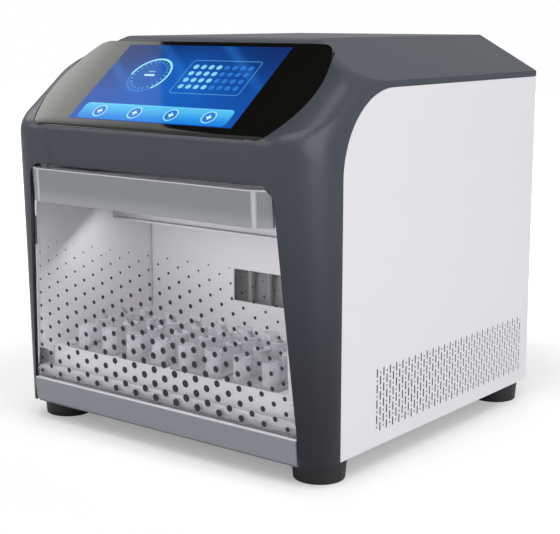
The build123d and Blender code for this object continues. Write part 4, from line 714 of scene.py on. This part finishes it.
def screen_material():
    """Lit page: a dial at the left, a plate map at the right and a row of keys below.

    Each mark is the signed distance from its outline, faded over a soft edge, and blends its own
    colour over what lies under it.
    """
    material, tree, shader = blank("screen_page")
    place = tree.nodes.new("ShaderNodeUVMap")
    split = tree.nodes.new("ShaderNodeSeparateXYZ")
    tree.links.new(place.outputs["UV"], split.inputs[0])
    x, y = Field(tree, split.outputs["X"]), Field(tree, split.outputs["Y"])
    # Glow and streaks of the ground.
    glow = (-(length(x + 0.05, (y - 0.55) * 1.3))).ramp(-1.15, 0.0)
    colour = mix_colour(tree, y.ramp(0.1, 1.2), (0.005, 0.085, 0.42), (0.003, 0.026, 0.15))
    colour = mix_colour(tree, glow * 0.75, colour, (0.006, 0.13, 0.58))
    streak = (x * 0.8 + y).wrap(-0.35, 0.35).abs()
    streak = (-streak).ramp(-0.12, 0.0) * y.ramp(0.2, 0.9) * 0.25
    colour = mix_colour(tree, streak, colour, (0.03, 0.25, 0.85))
    # Dial.
    dx, dy = x + DIAL_LEFT, y - DIAL_UP
    reach = length(dx, dy)
    dial = inside(reach - DIAL_RADIUS, SOFT)
    colour = mix_colour(tree, dial * 0.75, colour, (0.008, 0.11, 0.46))
    ring = inside((reach - DIAL_RADIUS).abs() - 0.012, SOFT)
    sweep = dy.op("ARCTAN2", dx)
    lit = (sweep.wrap(-math.pi, math.pi) + 0.9).ramp(-0.02, 0.02)
    colour = mix_colour(tree, ring * 0.8, colour, (0.03, 0.22, 0.72))
    colour = mix_colour(tree, ring * lit, colour, (0.35, 0.85, 1.0))
    ticks = inside((reach - TICK_RADIUS).abs() - 0.014, CRISP)
    half_step = math.pi / DIAL_TICKS
    ticks = ticks * inside(sweep.wrap(-half_step, half_step).abs() - 0.022, 0.02)
    colour = mix_colour(tree, ticks * 0.8, colour, (0.25, 0.65, 1.0))
    hand = round_box(dx, dy, 0.07, 0.014, 0.01)
    colour = mix_colour(tree, inside(hand, CRISP), colour, (0.55, 0.85, 1.0))
    hand = round_box(dx, dy - 0.055, 0.045, 0.010, 0.008)
    colour = mix_colour(tree, inside(hand, CRISP) * 0.6, colour, (0.35, 0.70, 1.0))
    # Plate map: four rows of eight wells in a frame.
    px, py = x - MAP_RIGHT, y - MAP_UP
    frame_edge = inside(round_box(px, py, *MAP_HALF, 0.04).abs() - 0.005, CRISP)
    colour = mix_colour(tree, frame_edge * 0.55, colour, (0.15, 0.50, 0.95))
    wx, wy = ((along + WELL_HALF_PITCH).wrap(-WELL_HALF_PITCH, WELL_HALF_PITCH)
              for along in (px, py))
    field_mask = inside(round_box(px, py, *WELLS_HALF, 0.001), 0.002)
    wells = inside(length(wx, wy) - WELL_RADIUS, 0.012) * field_mask
    done = (-px).ramp(-0.001, 0.001)
    colour = mix_colour(tree, wells * 0.8, colour, (0.03, 0.22, 0.75))
    colour = mix_colour(tree, wells * done * 0.85, colour, (0.30, 0.78, 1.0))
    # Row of keys.
    bar = inside(round_box(x, y - KEY_UP, *BAR_HALF, 0.05), SOFT)
    bar_tint = mix_colour(tree, y.ramp(0.02, 0.24), (0.010, 0.25, 0.80), (0.10, 0.58, 0.94))
    colour = mix_colour(tree, bar * 0.92, colour, bar_tint)
    gleam = inside(round_box(x, y - 0.238, 0.94, 0.008, 0.006), 0.014)
    colour = mix_colour(tree, gleam * 0.8, colour, (0.16, 0.68, 1.0))
    kx, ky = (x + KEY_HALF_PITCH).wrap(-KEY_HALF_PITCH, KEY_HALF_PITCH), y - KEY_UP
    inner = inside(x.abs() - KEYS_REACH, SOFT)
    key = inside(length(kx, ky) - KEY_RADIUS, SOFT) * inner
    colour = mix_colour(tree, key * 0.9, colour, (0.012, 0.20, 0.66))
    rim = inside((length(kx, ky) - KEY_RADIUS).abs() - 0.006, CRISP) * inner
    colour = mix_colour(tree, rim, colour, (0.50, 0.86, 1.0))
    mark = inside(round_box(kx, ky, CROSS_LONG, CROSS_SHORT, 0.006), 0.006)
    mark = mark.max(inside(round_box(kx, ky, CROSS_SHORT, CROSS_LONG, 0.006), 0.006)) * inner
    colour = mix_colour(tree, mark, colour, (0.80, 0.94, 1.0))
    edge = inside(round_box(x, y - PAGE_MIDDLE_UP, *PAGE_HALF, 0.01), SOFT)
    colour = mix_colour(tree, edge, (0.0, 0.0, 0.0), colour)
    tree.links.new(colour, shader.inputs["Emission Color"])
    shader.inputs["Emission Strength"].default_value = 1.0
    shader.inputs["Base Color"].default_value = (0.004, 0.005, 0.008, 1.0)
    shader.inputs["Roughness"].default_value = 0.06
    shader.inputs["Specular IOR Level"].default_value = 0.12
    return material


def screen_page():
    """The lit picture, a sheet just over the cover glass with its own flat map."""
    across, up = np.meshgrid(np.linspace(-SCREEN_HALF, SCREEN_HALF, PAGE_COLUMNS),
                             np.linspace(0, SCREEN_H, PAGE_ROWS))
    points = screen_point(across, up, SKIN)
    index = np.arange(PAGE_ROWS * PAGE_COLUMNS).reshape(PAGE_ROWS, PAGE_COLUMNS)
    faces = np.stack([index[:-1, :-1], index[:-1, 1:], index[1:, 1:], index[1:, :-1]], -1)
    piece = mesh_piece("screen_page", points, faces.reshape(-1, 4), screen_material(),
                       "chassis")
    layer = piece.data.uv_layers.new(name="page")
    corner = np.empty(len(piece.data.loops), int)
    piece.data.loops.foreach_get("vertex_index", corner)
    flat = np.stack([across.ravel(), up.ravel()], -1)[corner] / (100 * MM)
    layer.data.foreach_set("uv", flat.ravel())
    return piece


# ---- Floor, light and camera -----------------------------------------------------------------------
FLOOR_HALF = 6.0
FLOOR_FADE = (0.36, 0.85)       # distances between which the floor turns to plain white
FLOOR_GLOW = 0.28               # its own light as the camera sees it near the machine
WORLD_LIGHT = 0.45              # strength of the surround, and 1 as the camera sees it
MACHINE_MIDDLE = (0, 0, 0.2)
# Name, place, target, size, power in watts, and whether polished surfaces mirror it.
LAMPS = (
    ("key_top", (0.6, -0.9, 2.2), MACHINE_MIDDLE, (1.8, 1.8), 21, True),
    ("right_wall", (2.4, -0.3, 0.9), MACHINE_MIDDLE, (1.6, 1.6), 21.5, True),
    ("left_front", (-1.6, -2.0, 1.1), MACHINE_MIDDLE, (1.6, 1.4), 12, True),
    ("rear_fill", (-1.4, 2.2, 1.3), MACHINE_MIDDLE, (1.6, 1.6), 14, False),
    ("chamber_lamp", (0.0, -0.14, 0.205), (0, -0.03, 0.04), (0.30, 0.07), 0.17, True),
)
# Edges of the two cards: the left one, the one they share, and the right one.
CARD_LEFT = ((-1.611, -0.644, 1.012), (-2.308, 0.558, 1.373))
CARD_SHARED_HIGH, CARD_SHARED_LOW = (-1.377, 0.639, 1.681), (-0.828, -0.525, 1.360)
CARD_RIGHT = ((0.063, 0.757, 2.131), (0.463, -0.395, 1.850))
CARD_FADE = (1.0, 1.5)          # distances to the left between which a card's glow changes
LIGHT_CARD_GLOW = (0.9, 2.4)
CAMERA_PLACE = (0.8740, -1.1256, 0.4345)
CAMERA_DOWN = math.radians(9.644)
CAMERA_TURN = math.radians(38.551)
CAMERA_SENSOR, CAMERA_LENS = 36.0, 84.21   # millimetres
CAMERA_SHIFT = (0.039, -0.05)


def stage_floor():
    """Wide pale floor that takes the machine's soft shadow."""
    half = FLOOR_HALF
    mesh = bpy.data.meshes.new("floor")
    mesh.from_pydata([(-half, -half, 0), (half, -half, 0), (half, half, 0), (-half, half, 0)], [],
                     [(0, 1, 2, 3)])
    floor = bpy.data.objects.new("floor", mesh)
    bpy.context.scene.collection.objects.link(floor)
    material, tree, shader = blank("floor_pale")
    shader.inputs["Base Color"].default_value = (0.80, 0.80, 0.80, 1.0)
    shader.inputs["Roughness"].default_value = 0.9
    shader.inputs["Specular IOR Level"].default_value = 0.1
    path = tree.nodes.new("ShaderNodeLightPath")
    seen = Field(tree, path.outputs["Is Camera Ray"]).max(
        Field(tree, path.outputs["Is Transmission Ray"]))
    far = length(object_axis(tree, "X"), object_axis(tree, "Y")).ramp(*FLOOR_FADE)
    shader.inputs["Emission Color"].default_value = (1.0, 1.0, 1.0, 1.0)
    glow = seen * (far * (1 - FLOOR_GLOW) + FLOOR_GLOW)
    tree.links.new(glow.socket, shader.inputs["Emission Strength"])
    mesh.materials.append(material)


def world_light():
    """Even studio surround, seen as white."""
    world = bpy.data.worlds.new("studio")
    bpy.context.scene.world = world
    world.use_nodes = True
    tree = world.node_tree
    back = tree.nodes["Background"]
    path = tree.nodes.new("ShaderNodeLightPath")
    seen = Field(tree, path.outputs["Is Camera Ray"]).max(
        Field(tree, path.outputs["Is Transmission Ray"]))
    level = seen * (1 - WORLD_LIGHT) + WORLD_LIGHT
    tree.links.new(level.socket, back.inputs["Strength"])
    back.inputs["Color"].default_value = (1.0, 1.0, 1.0, 1.0)


def area_lamp(name, place, target, size, power):
    """Soft rectangular lamp aimed at a point."""
    data = bpy.data.lights.new(name, "AREA")
    data.shape = "RECTANGLE"
    data.size, data.size_y = size
    data.energy = power
    lamp = bpy.data.objects.new(name, data)
    bpy.context.scene.collection.objects.link(lamp)
    lamp.location = place
    direction = np.array(target) - np.array(place)
    lamp.rotation_euler = Vector(direction).to_track_quat("-Z", "Y").to_euler()
    return lamp


def studio_lamps():
    """The lamps round the machine and the small one over its chamber."""
    for name, place, target, size, power, mirrored in LAMPS:
        area_lamp(name, place, target, size, power).visible_glossy = mirrored


def card(name, corners, near, far):
    """A flag or a reflector beside the machine that only polished surfaces mirror.

    Its glow goes from near to far as it recedes to the left.
    """
    mesh = bpy.data.meshes.new(name)
    mesh.from_pydata(corners, [], [(0, 1, 2, 3)])
    piece = bpy.data.objects.new(name, mesh)
    bpy.context.scene.collection.objects.link(piece)
    material, tree, shader = blank(name)
    cloth = {"Colour": (0.0, 0.0, 0.0, 1.0), "Variation": 0.0, "Roughness": 1.0,
             "Roughness spread": 0.0}
    finish_with(tree, shader, GRAIN, cloth, 0.0, 0.0)
    shader.inputs["Specular IOR Level"].default_value = 0.0
    shader.inputs["Emission Color"].default_value = (1.0, 1.0, 0.96, 1.0)
    glow = (-object_axis(tree, "X")).ramp(*CARD_FADE) * (far - near) + near
    tree.links.new(glow.socket, shader.inputs["Emission Strength"])
    mesh.materials.append(material)
    piece.visible_camera = False
    piece.visible_diffuse = False
    piece.visible_shadow = False
    piece.visible_transmission = False


def cards():
    """A light card and a dark flag that the cover glass mirrors side by side."""
    high, low = CARD_SHARED_HIGH, CARD_SHARED_LOW
    card("light_card", [high, low, *CARD_LEFT], *LIGHT_CARD_GLOW)
    card("dark_flag", [*CARD_RIGHT, low, high], 0.0, 0.0)


def main_camera():
    """Camera a little above the machine, seen from the front right."""
    data = bpy.data.cameras.new("camera")
    data.sensor_width = CAMERA_SENSOR
    data.lens = CAMERA_LENS
    data.shift_x, data.shift_y = CAMERA_SHIFT
    camera = bpy.data.objects.new("camera", data)
    bpy.context.scene.collection.objects.link(camera)
    camera.location = CAMERA_PLACE
    camera.rotation_euler = (math.pi / 2 - CAMERA_DOWN, 0.0, CAMERA_TURN)
    bpy.context.scene.camera = camera


paint_nodes()
door_dots()
hinge_pockets()
pull_tabs()
side_vents(1, "right_vents")
side_vents(-1, "left_vents")
smooth_glass()
screen_page()
stage_floor()
world_light()
studio_lamps()
cards()
main_camera()
bpy.context.scene.view_settings.view_transform = "Standard"
